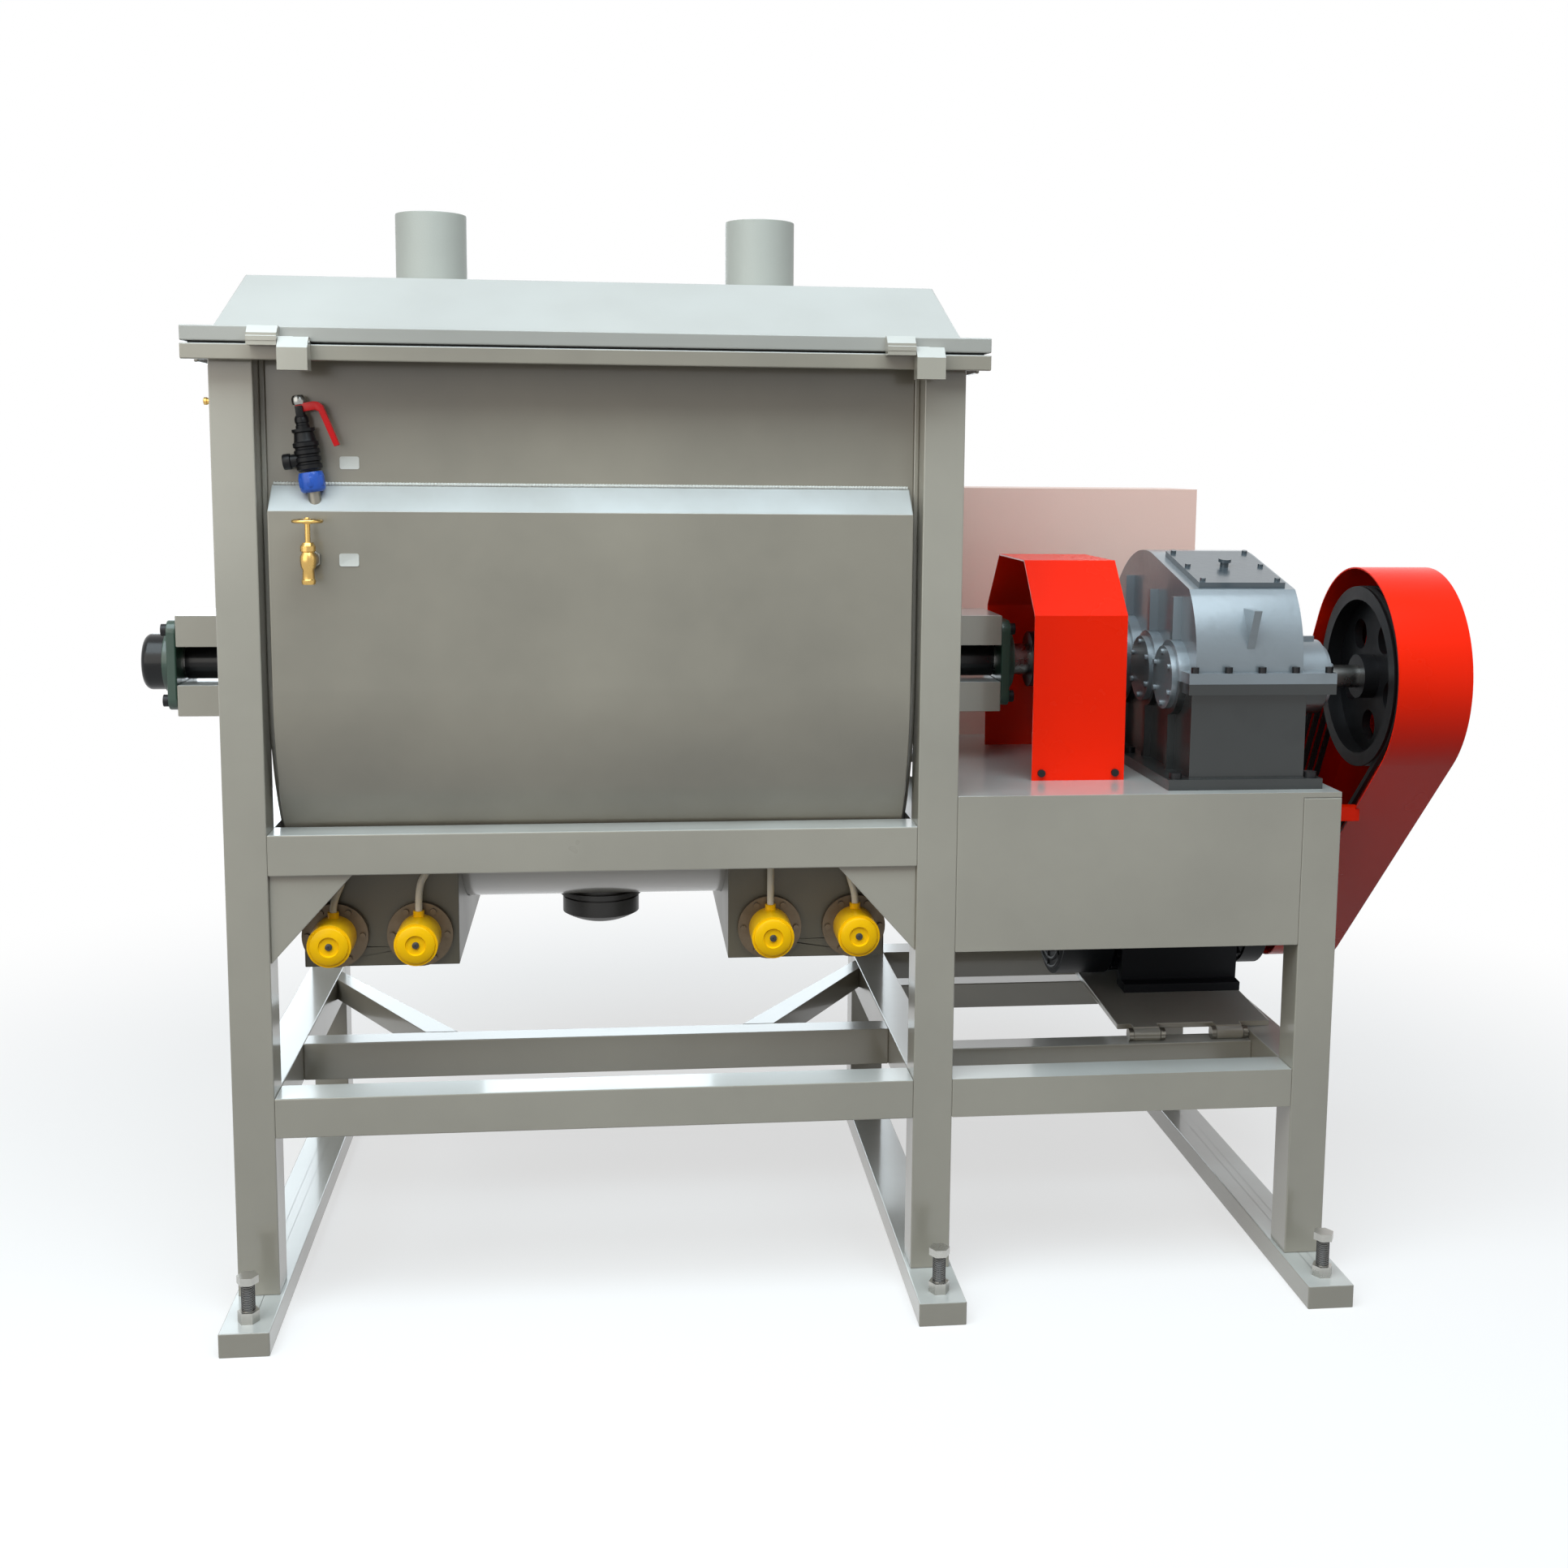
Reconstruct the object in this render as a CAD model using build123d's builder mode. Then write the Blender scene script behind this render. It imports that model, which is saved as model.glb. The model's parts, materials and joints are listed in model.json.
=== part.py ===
"""Heated ribbon blender: a jacketed U-trough on a welded frame, with a reducer, belt drive and motor.

X runs along the shaft to the drive end, Y runs from the operator's side to the back, Z is up.
The origin is the middle of the underside of the middle base rail. All sizes are millimetres.
"""
from math import acos, atan2, cos, degrees, pi, radians, sin, sqrt
import os

from build123d import *

os.makedirs("parts", exist_ok=True)

# Frame
tube = 80  # square tube of columns, legs, beams and stretchers
tube_wall = 5
tank_bay = 1417  # over the outer faces of the tank columns
jacket_inset = 5  # columns' outer faces to the jacket's widest line
rail_width = 95
rail_height = 48
rail_wall = 5
rail_overhang = 156  # base rail beyond the columns, front and back
stretcher_below_shaft = 799  # shaft to the stretchers' top
beam_clearance = 11  # jacket to the tank beams under it
gusset_leg_x = 158
gusset_leg_z = 175
gusset_thickness = 60
mid_beam_y = -150  # middle of the lower long beam, towards the front
mid_beam_width = 60
brace_width = 50
brace_inset = 60  # rear column to the brace
brace_end = 70  # brace's cut length along what it meets
brace_reach = 320  # how far along the mid beam a plan brace lands
motor_rail_side = 60
motor_rail_step = 18  # motor rails below the stretchers' top
front_motor_rail_y = -245
rear_motor_rail_y = 235
platform_below_shaft = 217
platform_plate = 12
apron_height = 318
apron_sheet = 6

# Levelling bolts
bolt_radius = 12
bolt_length = 125
bolt_across_flats = 36
bolt_head = 15
nut_height = 22
thread_clearance = 0.05
bolt_from_rail_end = 52

# Trough, jacket and rim
shaft_height = 1247
trough_radius = 450
trough_wall = 6
end_plate = 10
trough_rise = 614  # shaft to the rim's lower edge
rim_height = 29
rim_sheet = 8
rim_overhang_x = 38
rim_overhang_y = 50
jacket_gap = 49  # oil space between the trough wall and the jacket sheet
jacket_sheet = 5
jacket_clearance = 2  # jacket to the spout's collar
jacket_end_gap = 8  # from a jacket end to the end plate
ledge_rise = 388  # shaft to where the sloped jacket ledge meets the trough wall
ledge_drop = 49
weld_gap = 0.3  # between curved faces that are welded on the real machine

# Lid
gasket_height = 4
gasket_width = 26
gasket_inset = 12
lid_lip = 28
lid_sheet = 5
lid_base_inset_x = 50  # from the lid's lip to the foot of its end slope
lid_base_inset_y = 48
lid_slope_x = 22
lid_slope_y = 205
lid_rise = 113
inlet_radius = 74
inlet_wall = 5
inlet_height = 160
inlet_spacing = 698
inlet_y = 0

# Discharge spout
spout_radius = 80
spout_wall = 5
spout_drop = 101  # trough's outside to the spout's end
spout_flange_radius = 89
spout_flange = 10
cap_dome = 24
cap_skirt = 34
cap_wall = 4
cap_clearance = 0.3

# Lid hinges
hinge_pin_radius = 8
hinge_clearance = 0.05
knuckle_radius = 15
knuckle_length = 44
leaf_length = 30
knuckle_gap = 0.5
hinge_offset = 20  # from the lip to the pin
hinge_spacing = 500
hinge_count = 3
hinge_pin_end = 3  # pin beyond the leaf

# Lid latches
latch_width = 54
lug_reach = 34
lug_drop = 50
lug_bevel = 20
hasp_reach = 40
hasp_drop = 60
hasp_top_below_lid = 20
hasp_gap = 1
latch_pin_radius = 6
latch_inset_left = 177  # rim end to the lug's far side, at the left latch
latch_inset_right = 150

# Main shaft
shaft_radius = 35
seal_clearance = 4  # shaft to the end plate's hole

# Bearings
standoff_length = 253
standoff_height = 66
standoff_gap = 81  # clear height between the upper and lower stand-off
standoff_depth = 190
standoff_wall = 8
bearing_side = 190
bearing_flange = 20
bearing_boss_radius = 66
bearing_boss = 18
bearing_corner = 24
bearing_bolt_pitch = 150
bearing_bolt_radius = 8
bearing_bolt_head = 12
end_cap_radius = 60
end_cap_length = 45
end_cap_wall = 4
running_clearance = 0.05

# Shaft seals
seal_radius = 78
seal_length = 44
gland_radius = 62
gland_length = 26

# Agitator
ribbon_clearance = 10  # outer ribbon to trough
outer_ribbon_width = 52
inner_ribbon_radius = 265
inner_ribbon_width = 42
ribbon_thickness = 8
ribbon_end_gap = 22  # ribbon to end plate
spoke_radius = 15
spoke_gap = 0.6  # rod end to ribbon, where the real ones are welded
outer_spokes = (0.03, 0.25, 0.5, 0.75, 0.97)  # shares of the ribbon's run
inner_spokes = (0.125, 0.375, 0.625, 0.875)
shaft_stub = 12  # shaft beyond the left bearing boss

# Coupling between the agitator and the reducer
coupling_radius = 98
coupling_hub_radius = 62
coupling_half = 76
coupling_disc = 34
coupling_slit = 4
coupling_from_bearing = 42  # bearing boss to the coupling
coupling_pins = 6
coupling_pin_radius = 9

# Reducer
reducer_from_coupling = 79
reducer_width = 242
reducer_margin = 24  # reducer to the middle of the drive legs
reducer_wall = 14
reducer_front_reach = 130  # input axis to the split flange's front edge
reducer_back_reach = 225
input_axis_y = -350
middle_axis_y = -185
input_boss_radius = 78
middle_boss_radius = 82
output_boss_radius = 100
boss_reach_left = 16
boss_reach_right = 60
boss_proud = 4
split_flange = 22
split_lip = 18
rib_thickness = 16
foot_reach_left = 48
foot_reach_right = 35
foot_height = 22
bearing_pocket = 30
output_shaft_radius = 38
input_shaft_radius = 24
end_float = 1
upper_inset_left = 7
upper_inset_right = 10
upper_front_mid = (-448, 115)  # the upper housing's outline, in Y and height over the shaft
cover_front = (-400, 187)
cover_back = (-150, 243)
upper_back_mid = (95, 193)
side_rib = 90
hook_reach = 34
hook_depth = 70
hook_foot = 16
hook_height = 128
cover_width = 183
cover_thickness = 12
cover_margin = 8
breather_radius = 9
breather_height = 14
cover_bolt_radius = 6
bolt_head_height = 6
cap_thickness = 12
cap_inset = 12
cap_bolts = 6
cap_clear = 3

# Belt drive
pulley_from_platform = 87
pulley_width = 82
large_pulley_radius = 190
motor_pulley_radius = 75
groove_count = 4
groove_pitch = 19
groove_top = 16
groove_bottom = 8
groove_depth = 14
pulley_rim = 14
pulley_hub_radius = 46
pulley_web = 18
web_holes = 5
web_hole_radius = 32
web_hole_circle = 104
belt_width = 9
belt_height = 10
belt_proud = 1
guard_lead = 8  # guard's open edge before the pulley
guard_clear = 65  # pulley to the guard's closed side
guard_sheet = 3
guard_radius_large = 230
guard_radius_small = 122
guard_brackets = ((51, -33), (-382, -58))  # in Y and height over the platform's underside
bracket_width = 30
bracket_hold = 10
coupling_guard_lead = 66  # guard's left edge before the coupling
coupling_guard_length = 197
coupling_guard_line = (  # in Y and height over the platform
    (-350, 0), (-345, 345), (-233, 453), (19, 453), (135, 330), (135, 0),
)

# Motor and its hinged plate
plate_hinge_y = -253
plate_tilt = 3
plate_lift = 5  # plate's underside above the hinge axis
plate_thickness = 12
foot_from_hinge = 375
motor_shaft_height = 160
motor_shaft_radius = 21
plate_width = 347
plate_length = 550
plate_knuckle = 60
plate_knuckle_left = 60  # plate's left edge to the first knuckle's middle
plate_knuckle_right = 100
plate_front = 20  # hinge axis to the plate's front edge
plate_knuckle_radius = 14
plate_pin_radius = 8
ear_thickness = 10
jack_radius = 10
jack_gap = 0.9
frame_from_plate = 49  # plate's left edge to the motor's body
frame_length = 320
frame_radius = 150
fin_count = 32
fin_height = 18
fin_thickness = 5
fin_inset = 12
bell_length = 50
bell_to_pulley = 41
bell_radius = 138
fan_length = 120
fan_radius = 155
foot_spacing = 254
foot_width = 64
foot_block = 20
foot_length = 275
terminal_length = 130
terminal_width = 130
terminal_height = 110
split_bolts = 5
split_bolt_inset = 18
foot_bolt_inset = 20
guard_bolt_height = 16

# Heating
chamber_left_inset = 44  # end plate's face to the left chamber
chamber_left_length = 304
chamber_right_inset = 47
chamber_right_length = 321
chamber_gap = 10  # wiring duct to the chambers
chamber_back = 230
chamber_drop = 62  # jacket's lowest line to the chambers' floor
chamber_wall = 5
left_heaters = (62, 228)  # from the left chamber's left side
right_heaters = (84, 257)
heater_rise = 67  # chamber floor to the heaters
heater_hole_radius = 30
heater_flange = 15
heater_flange_radius = 65
heater_bolt_circle = 54
heater_bolts = 6
heater_rod_radius = 7
heater_rod_spacing = 34
heater_reach = 230  # rods' length
heater_cap_radius = 42.5
heater_cap_length = 80
heater_gland_radius = 11
heater_gland_height = 10
lead_radius = 7
lead_gap = 0.2
lead_inset = 15  # duct's front to the leads
lead_drift = (25, 20, 0, -18)  # sideways travel of each lead on its way up
lead_low = (0.20, 0.54, 0, 0.20)  # first bend, as a share of the way from gland to duct
lead_high = (0.74, 0.81, 0, 0.74)  # last bend
lead_bend = 30
lead_bend_limit = 0.31  # widest bend that a short way leaves room for
duct_inset_left = 70  # end plate's face to the duct
duct_inset_right = 67
duct_depth = 35
duct_below_beam = 77  # beam's top to the duct's underside
duct_height = 25

# Relief valve
relief_inset = 102  # end plate's face to the valve
relief_stand = 29  # trough wall to the valve's axis
relief_lean = 8
relief_nipple = 14
relief_nipple_radius = 13
relief_base_height = 38
relief_base_radius = 26
relief_body_height = 80
relief_body_radius = 24
relief_outlet_radius = 15
relief_outlet_reach = 46
relief_cap_height = 28
relief_cap_radius = 13
relief_ear = 14
relief_strap = 4
relief_pin_radius = 3
lever_stand_off = 14
lever_drop = 95

# Sampling tap
tap_inset = 98
tap_reach = 45  # jacket's face to the tap's axis
tap_rise = 250  # shaft to the tap's inlet
tap_spout_drop = 45
tap_pipe_radius = 11
tap_nut = 12
tap_nut_radius = 19
tap_body_radius = 15
tap_body_height = 44
tap_stem_radius = 5
tap_stem_depth = 24
tap_wheel_rise = 72
tap_wheel_radius = 29
tap_wheel_rim = 8
tap_wheel_height = 10

# Cabinet
cabinet_from_column = 129
cabinet_width = 600
cabinet_gap = 60  # reducer to the cabinet
cabinet_depth = 230
cabinet_height = 596
cabinet_sheet = 2
door_gap = 1
door_depth = 18
door_hinge_offset = 8
door_hinge_heights = (100, 496)
door_knuckle = 40
door_knuckle_radius = 6
door_ear = 15
door_arm = 25
door_pin_radius = 3
door_handle = 14
door_handle_inset = 40
door_handle_length = 90

# Helpers


def save(piece, node):
    """Labels a finished piece and writes it."""
    piece.part.label = node
    export_step(piece.part, f"parts/{node}.step")


def hollow_bar(length, axis, width=tube, height=tube, wall=tube_wall):
    """Adds an open box section of a given length along X, Y or Z at the current place."""
    sizes = {"X": (length, width, height), "Y": (width, length, height), "Z": (width, height, length)}
    outer = sizes[axis]
    bore = [side if name == axis else side - 2 * wall for side, name in zip(outer, "XYZ")]
    Box(*outer)
    Box(*bore, mode=Mode.SUBTRACT)


def x_plane(x):
    """The plane across the shaft at x: its own axes are Y and Z of the machine."""
    return Plane.YZ.offset(x)


# Places worked out from the sizes: across the trough
trough_outer = trough_radius + trough_wall
jacket_inner = trough_outer + jacket_gap
jacket_outer = jacket_inner + jacket_sheet
frame_depth = 2 * (jacket_outer + jacket_inset)
frame_front = -frame_depth / 2
frame_back = frame_depth / 2
leg_y = (frame_depth - tube) / 2
beam_back = frame_back - tube  # inner face of the tank beams

# Heights
stretcher_top = shaft_height - stretcher_below_shaft
motor_rail_top = stretcher_top - motor_rail_step
platform_top = shaft_height - platform_below_shaft
platform_under = platform_top - platform_plate
tank_beam_top = shaft_height - sqrt(jacket_outer**2 - beam_back**2) - beam_clearance
rim_bottom = shaft_height + trough_rise
rim_top = rim_bottom + rim_height
mouth_z = rim_top - rim_sheet
ledge_top = shaft_height + ledge_rise
lid_bottom = rim_top + gasket_height
lid_flange_top = lid_bottom + lid_lip
spout_bottom = shaft_height - trough_outer - spout_drop

# Along the shaft, tank bay
left_x = -(tank_bay - tube)
tank_x = left_x / 2
tank_left = left_x + tube / 2  # inner face of the left columns
tank_right = -tube / 2
trough_left = tank_left + end_plate
trough_right = tank_right - end_plate
trough_length = trough_right - trough_left
jacket_left = trough_left + jacket_end_gap
jacket_length = trough_length - 2 * jacket_end_gap
rim_length = tank_bay + 2 * rim_overhang_x
rim_depth = frame_depth + 2 * rim_overhang_y

# Along the shaft, drive bay: each piece follows the one before it
standoff_end_left = tank_left - standoff_length
standoff_end_right = tank_right + standoff_length
coupling_left = standoff_end_right + bearing_flange + bearing_boss + coupling_from_bearing
coupling_right = coupling_left + 2 * coupling_half + coupling_slit
coupling_guard_left = coupling_left - coupling_guard_lead
reducer_left = coupling_right + reducer_from_coupling
reducer_right = reducer_left + reducer_width
foot_left = reducer_left - foot_reach_left
foot_right = reducer_right + foot_reach_right
upper_left = reducer_left + upper_inset_left
upper_right = reducer_right - upper_inset_right
drive_bay = reducer_right + reducer_margin  # middle columns to the drive legs, centre to centre
right_x = drive_bay
platform_left = tube / 2
platform_right = drive_bay + tube / 2
pulley_left = platform_right + pulley_from_platform
pulley_right = pulley_left + pulley_width
guard_left = pulley_left - guard_lead
guard_right = pulley_right + guard_clear
bell_right = pulley_left - bell_to_pulley
frame_right = bell_right - bell_length
frame_left = frame_right - frame_length
fan_left = frame_left - fan_length
plate_left = frame_left - frame_from_plate
plate_right = plate_left + plate_width
cabinet_left = platform_left + cabinet_from_column
cabinet_right = cabinet_left + cabinet_width

# Base rails: capped box sections on the floor, front to back
rail_length = frame_depth + 2 * rail_overhang
with BuildPart() as base_rails:
    for x in (left_x, 0, right_x):
        with Locations((x, 0, rail_height / 2)):
            Box(rail_width, rail_length, rail_height)
        with Locations((x, 0, rail_height / 2)):
            Box(
                rail_width - 2 * rail_wall,
                rail_length - 2 * rail_wall,
                rail_height - 2 * rail_wall,
                mode=Mode.SUBTRACT,
            )
        for end in (-1, 1):
            bolt_y = end * (rail_length / 2 - bolt_from_rail_end)
            with Locations((x, bolt_y, rail_height / 2)):
                Cylinder(bolt_radius + thread_clearance, rail_height, mode=Mode.SUBTRACT)
save(base_rails, "base_rails")

# Levelling bolts, each in a nut welded to its rail
with BuildPart() as levelling_bolts:
    for x in (left_x, 0, right_x):
        for end in (-1, 1):
            bolt_y = end * (rail_length / 2 - bolt_from_rail_end)
            with BuildSketch(Plane.XY.offset(rail_height)):
                with Locations((x, bolt_y)):
                    RegularPolygon(bolt_across_flats / 2, 6, major_radius=False)
                    Circle(bolt_radius + thread_clearance, mode=Mode.SUBTRACT)
            extrude(amount=nut_height)
            with Locations((x, bolt_y, bolt_length / 2)):
                Cylinder(bolt_radius, bolt_length)
            with BuildSketch(Plane.XY.offset(bolt_length)):
                with Locations((x, bolt_y)):
                    RegularPolygon(bolt_across_flats / 2, 6, major_radius=False)
            extrude(amount=bolt_head)
save(levelling_bolts, "levelling_bolts")

# Columns of the tank bay and legs of the drive bay
with BuildPart() as legs:
    for x, top in ((left_x, mouth_z), (0, mouth_z), (right_x, platform_under)):
        leg_length = top - rail_height
        with Locations((x, -leg_y, rail_height + leg_length / 2), (x, leg_y, rail_height + leg_length / 2)):
            hollow_bar(leg_length, "Z")
save(legs, "legs")

# Side stretchers: front to back, between the legs
stretcher_z = stretcher_top - tube / 2
side_length = frame_depth - 2 * tube
with BuildPart() as side_stretchers:
    for x in (left_x, 0, right_x):
        with Locations((x, 0, stretcher_z)):
            hollow_bar(side_length, "Y")
save(side_stretchers, "side_stretchers")

# Long beams at stretcher height
tank_span = tank_bay - 2 * tube
drive_span = drive_bay - tube
drive_mid = drive_bay / 2
motor_rail_z = motor_rail_top - motor_rail_side / 2
with BuildPart() as long_beams:
    with Locations((tank_x, -leg_y, stretcher_z)):
        hollow_bar(tank_span, "X")
    with Locations((drive_mid, -leg_y, stretcher_z), (drive_mid, leg_y, stretcher_z)):
        hollow_bar(drive_span, "X")
    with Locations((tank_x, mid_beam_y, stretcher_z)):
        hollow_bar(tank_span, "X", width=mid_beam_width)
    with Locations((drive_mid, front_motor_rail_y, motor_rail_z), (drive_mid, rear_motor_rail_y, motor_rail_z)):
        hollow_bar(drive_span, "X", width=motor_rail_side, height=motor_rail_side)
save(long_beams, "long_beams")

# Braces: flat bars from the back of the side stretchers to the mid beam
tank_beam_under = tank_beam_top - tube
brace_front = mid_beam_y + mid_beam_width / 2
brace_back = frame_back - tube - brace_inset
with BuildPart() as frame_braces:
    for inner, direction in ((tank_left, 1), (tank_right, -1)):
        with BuildSketch(Plane.XY.offset(stretcher_top - brace_width)):
            with BuildLine():
                Polyline(
                    (inner, brace_back),
                    (inner, brace_back - brace_end),
                    (inner + direction * (brace_reach - brace_end), brace_front),
                    (inner + direction * brace_reach, brace_front),
                    close=True,
                )
            make_face()
        extrude(amount=brace_width)
    # Corner gussets under the front and rear tank beams
    for y in (-leg_y, leg_y):
        for corner, direction in ((tank_left, 1), (tank_right, -1)):
            with BuildSketch(Plane.XZ.offset(-y - gusset_thickness / 2)):
                with BuildLine():
                    Polyline(
                        (corner, tank_beam_under),
                        (corner + direction * gusset_leg_x, tank_beam_under),
                        (corner, tank_beam_under - gusset_leg_z),
                        close=True,
                    )
                make_face()
            extrude(amount=gusset_thickness)
save(frame_braces, "frame_braces")

# Beams under the trough and under the drive platform
tank_beam_z = tank_beam_top - tube / 2
platform_beam_z = platform_under - tube / 2
with BuildPart() as upper_beams:
    with Locations((tank_x, -leg_y, tank_beam_z), (tank_x, leg_y, tank_beam_z)):
        hollow_bar(tank_span, "X")
    with Locations((left_x, 0, tank_beam_z), (0, 0, tank_beam_z)):
        hollow_bar(side_length, "Y")
    with Locations((right_x, 0, platform_beam_z)):
        hollow_bar(side_length, "Y")
    with Locations((drive_mid, leg_y, platform_beam_z)):
        hollow_bar(drive_span, "X")
    with Locations((drive_mid, 0, platform_beam_z)):
        hollow_bar(drive_bay - tube, "X")
save(upper_beams, "upper_beams")

# Drive platform: a top plate with its plain front apron
apron_bottom = platform_top - apron_height
platform_mid = (platform_left + platform_right) / 2
with BuildPart() as drive_platform:
    with Locations((platform_mid, 0, platform_top - platform_plate / 2)):
        Box(platform_right - platform_left, frame_depth, platform_plate)
    with Locations((drive_mid, frame_front + apron_sheet / 2, (apron_bottom + platform_under) / 2)):
        Box(drive_span, apron_sheet, platform_under - apron_bottom)
save(drive_platform, "drive_platform")

# Trough: a U-shaped sheet with a round outlet in its bottom
with BuildPart() as trough:
    with BuildSketch(x_plane(trough_left)):
        with Locations((0, shaft_height)):
            Circle(trough_outer)
        with Locations((0, (shaft_height + mouth_z) / 2)):
            Rectangle(2 * trough_outer, mouth_z - shaft_height)
        with Locations((0, shaft_height)):
            Circle(trough_radius, mode=Mode.SUBTRACT)
        with Locations((0, (shaft_height + mouth_z) / 2)):
            Rectangle(2 * trough_radius, mouth_z - shaft_height, mode=Mode.SUBTRACT)
    extrude(amount=trough_length)
    with Locations((tank_x, 0, shaft_height - trough_radius)):
        Cylinder(spout_radius - spout_wall, 4 * trough_wall, mode=Mode.SUBTRACT)
save(trough, "trough")

# Discharge spout: a pipe welded under the trough, with a collar outside the jacket
spout_flange_z = shaft_height - jacket_outer - jacket_clearance
with BuildPart() as discharge_spout:
    with BuildSketch(Plane.XZ.offset(0)) as spout_section:
        with BuildLine():
            Polyline(
                (spout_radius - spout_wall, spout_bottom),
                (spout_radius, spout_bottom),
                (spout_radius, spout_flange_z - spout_flange),
                (spout_flange_radius, spout_flange_z - spout_flange),
                (spout_flange_radius, spout_flange_z),
                (spout_radius, spout_flange_z),
                (spout_radius, shaft_height - trough_radius),
                (spout_radius - spout_wall, shaft_height - trough_radius),
                close=True,
            )
        make_face()
    revolve(axis=Axis.Z)
    with Locations(Location((0, 0, shaft_height), (0, 90, 0))):
        Cylinder(trough_outer + weld_gap, 4 * spout_radius, mode=Mode.SUBTRACT)
discharge_spout.part.position = (tank_x, 0, 0)
save(discharge_spout, "discharge_spout")

# Discharge cap: a dished cap screwed over the end of the spout
cap_bore = spout_radius + cap_clearance
cap_bottom = spout_bottom - cap_clearance - cap_wall
cap_rim = cap_bore + cap_wall
dome_radius = (cap_rim**2 + cap_dome**2) / (2 * cap_dome)
dome_mid_z = cap_bottom - cap_dome + dome_radius - sqrt(dome_radius**2 - (cap_rim / 2) ** 2)
with BuildPart() as discharge_cap:
    with BuildSketch(Plane.XZ):
        with BuildLine():
            Polyline(
                (0, cap_bottom + cap_wall),
                (cap_bore, cap_bottom + cap_wall),
                (cap_bore, cap_bottom + cap_skirt),
                (cap_rim, cap_bottom + cap_skirt),
                (cap_rim, cap_bottom),
            )
            ThreePointArc(
                (cap_rim, cap_bottom),
                (cap_rim / 2, dome_mid_z),
                (0, cap_bottom - cap_dome),
            )
            Line((0, cap_bottom - cap_dome), (0, cap_bottom + cap_wall))
        make_face()
    revolve(axis=Axis.Z)
discharge_cap.part.position = (tank_x, 0, 0)
save(discharge_cap, "discharge_cap")

# End plates inside the columns, each with a clear hole for the shaft
seal_bore = shaft_radius + seal_clearance
with BuildPart() as end_plates:
    for face in (tank_left, tank_right - end_plate):
        with BuildSketch(x_plane(face)):
            with Locations((0, shaft_height)):
                Circle(trough_outer)
            with Locations((0, (shaft_height + mouth_z) / 2)):
                Rectangle(2 * trough_outer, mouth_z - shaft_height)
            with Locations((0, shaft_height)):
                Circle(seal_bore, mode=Mode.SUBTRACT)
        extrude(amount=end_plate)
save(end_plates, "end_plates")

# Oil jacket: a closed sheet round the lower trough with sloped ledges and end walls
ledge_bottom = ledge_top - ledge_drop


def jacket_outline(radius, shoulder, foot_z):
    """Adds the outer line of the jacket's section in the machine's Y and Z."""
    with Locations((0, shaft_height)):
        Circle(radius)
    Polygon(
        (-radius, shaft_height),
        (-radius, shoulder),
        (-trough_outer, foot_z),
        (trough_outer, foot_z),
        (radius, shoulder),
        (radius, shaft_height),
        align=None,
    )


def trough_outline():
    """Takes the trough's own section out of the current sketch."""
    with Locations((0, shaft_height)):
        Circle(trough_outer + weld_gap, mode=Mode.SUBTRACT)
    with Locations((0, (shaft_height + rim_bottom) / 2)):
        Rectangle(2 * trough_outer, rim_bottom - shaft_height, mode=Mode.SUBTRACT)


with BuildPart() as jacket:
    with BuildSketch(x_plane(jacket_left)):
        jacket_outline(jacket_outer, ledge_bottom, ledge_top)
        trough_outline()
    extrude(amount=jacket_length)
    with BuildSketch(x_plane(jacket_left + jacket_sheet)):
        jacket_outline(jacket_inner, ledge_bottom - jacket_sheet, ledge_top - jacket_sheet)
        trough_outline()
    extrude(amount=jacket_length - 2 * jacket_sheet, mode=Mode.SUBTRACT)
    with Locations((tank_x, 0, shaft_height - jacket_outer)):
        Cylinder(spout_radius + weld_gap, 6 * jacket_gap, mode=Mode.SUBTRACT)
save(jacket, "jacket")

# Rim: four lengths of angle round the trough's mouth
mouth_x = trough_length
mouth_y = 2 * trough_radius


def angle_bar(length, reach, direction):
    """Adds an angle along X with its plate on top and its lip hanging at the far side."""
    plate_y = direction * reach / 2
    with Locations((0, plate_y, -rim_sheet / 2)):
        Box(length, reach, rim_sheet)
    with Locations((0, direction * (reach - rim_sheet / 2), -rim_height / 2)):
        Box(length, rim_sheet, rim_height)


with BuildPart() as rim_long:
    angle_bar(rim_length, (rim_depth - mouth_y) / 2, -1)
with BuildPart() as rim_short:
    angle_bar(mouth_y, (rim_length - mouth_x) / 2, -1)
rim_bars = [
    Pos(tank_x, -mouth_y / 2, rim_top) * rim_long.part,
    Pos(tank_x, mouth_y / 2, rim_top) * Rot(0, 0, 180) * rim_long.part,
    Pos(tank_x + mouth_x / 2, 0, rim_top) * Rot(0, 0, 90) * rim_short.part,
    Pos(tank_x - mouth_x / 2, 0, rim_top) * Rot(0, 0, -90) * rim_short.part,
]
trough_rim = Compound(children=rim_bars, label="trough_rim")
export_step(trough_rim, "parts/trough_rim.step")

# Lid gasket: a square cord ring on the rim
with BuildPart() as lid_gasket:
    gasket_x = rim_length - 2 * gasket_inset
    gasket_y = rim_depth - 2 * gasket_inset
    with Locations((tank_x, 0, rim_top + (gasket_height - weld_gap) / 2)):
        Box(gasket_x, gasket_y, gasket_height - weld_gap)
        Box(
            gasket_x - 2 * gasket_width,
            gasket_y - 2 * gasket_width,
            gasket_height,
            mode=Mode.SUBTRACT,
        )
save(lid_gasket, "lid_gasket")

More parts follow.
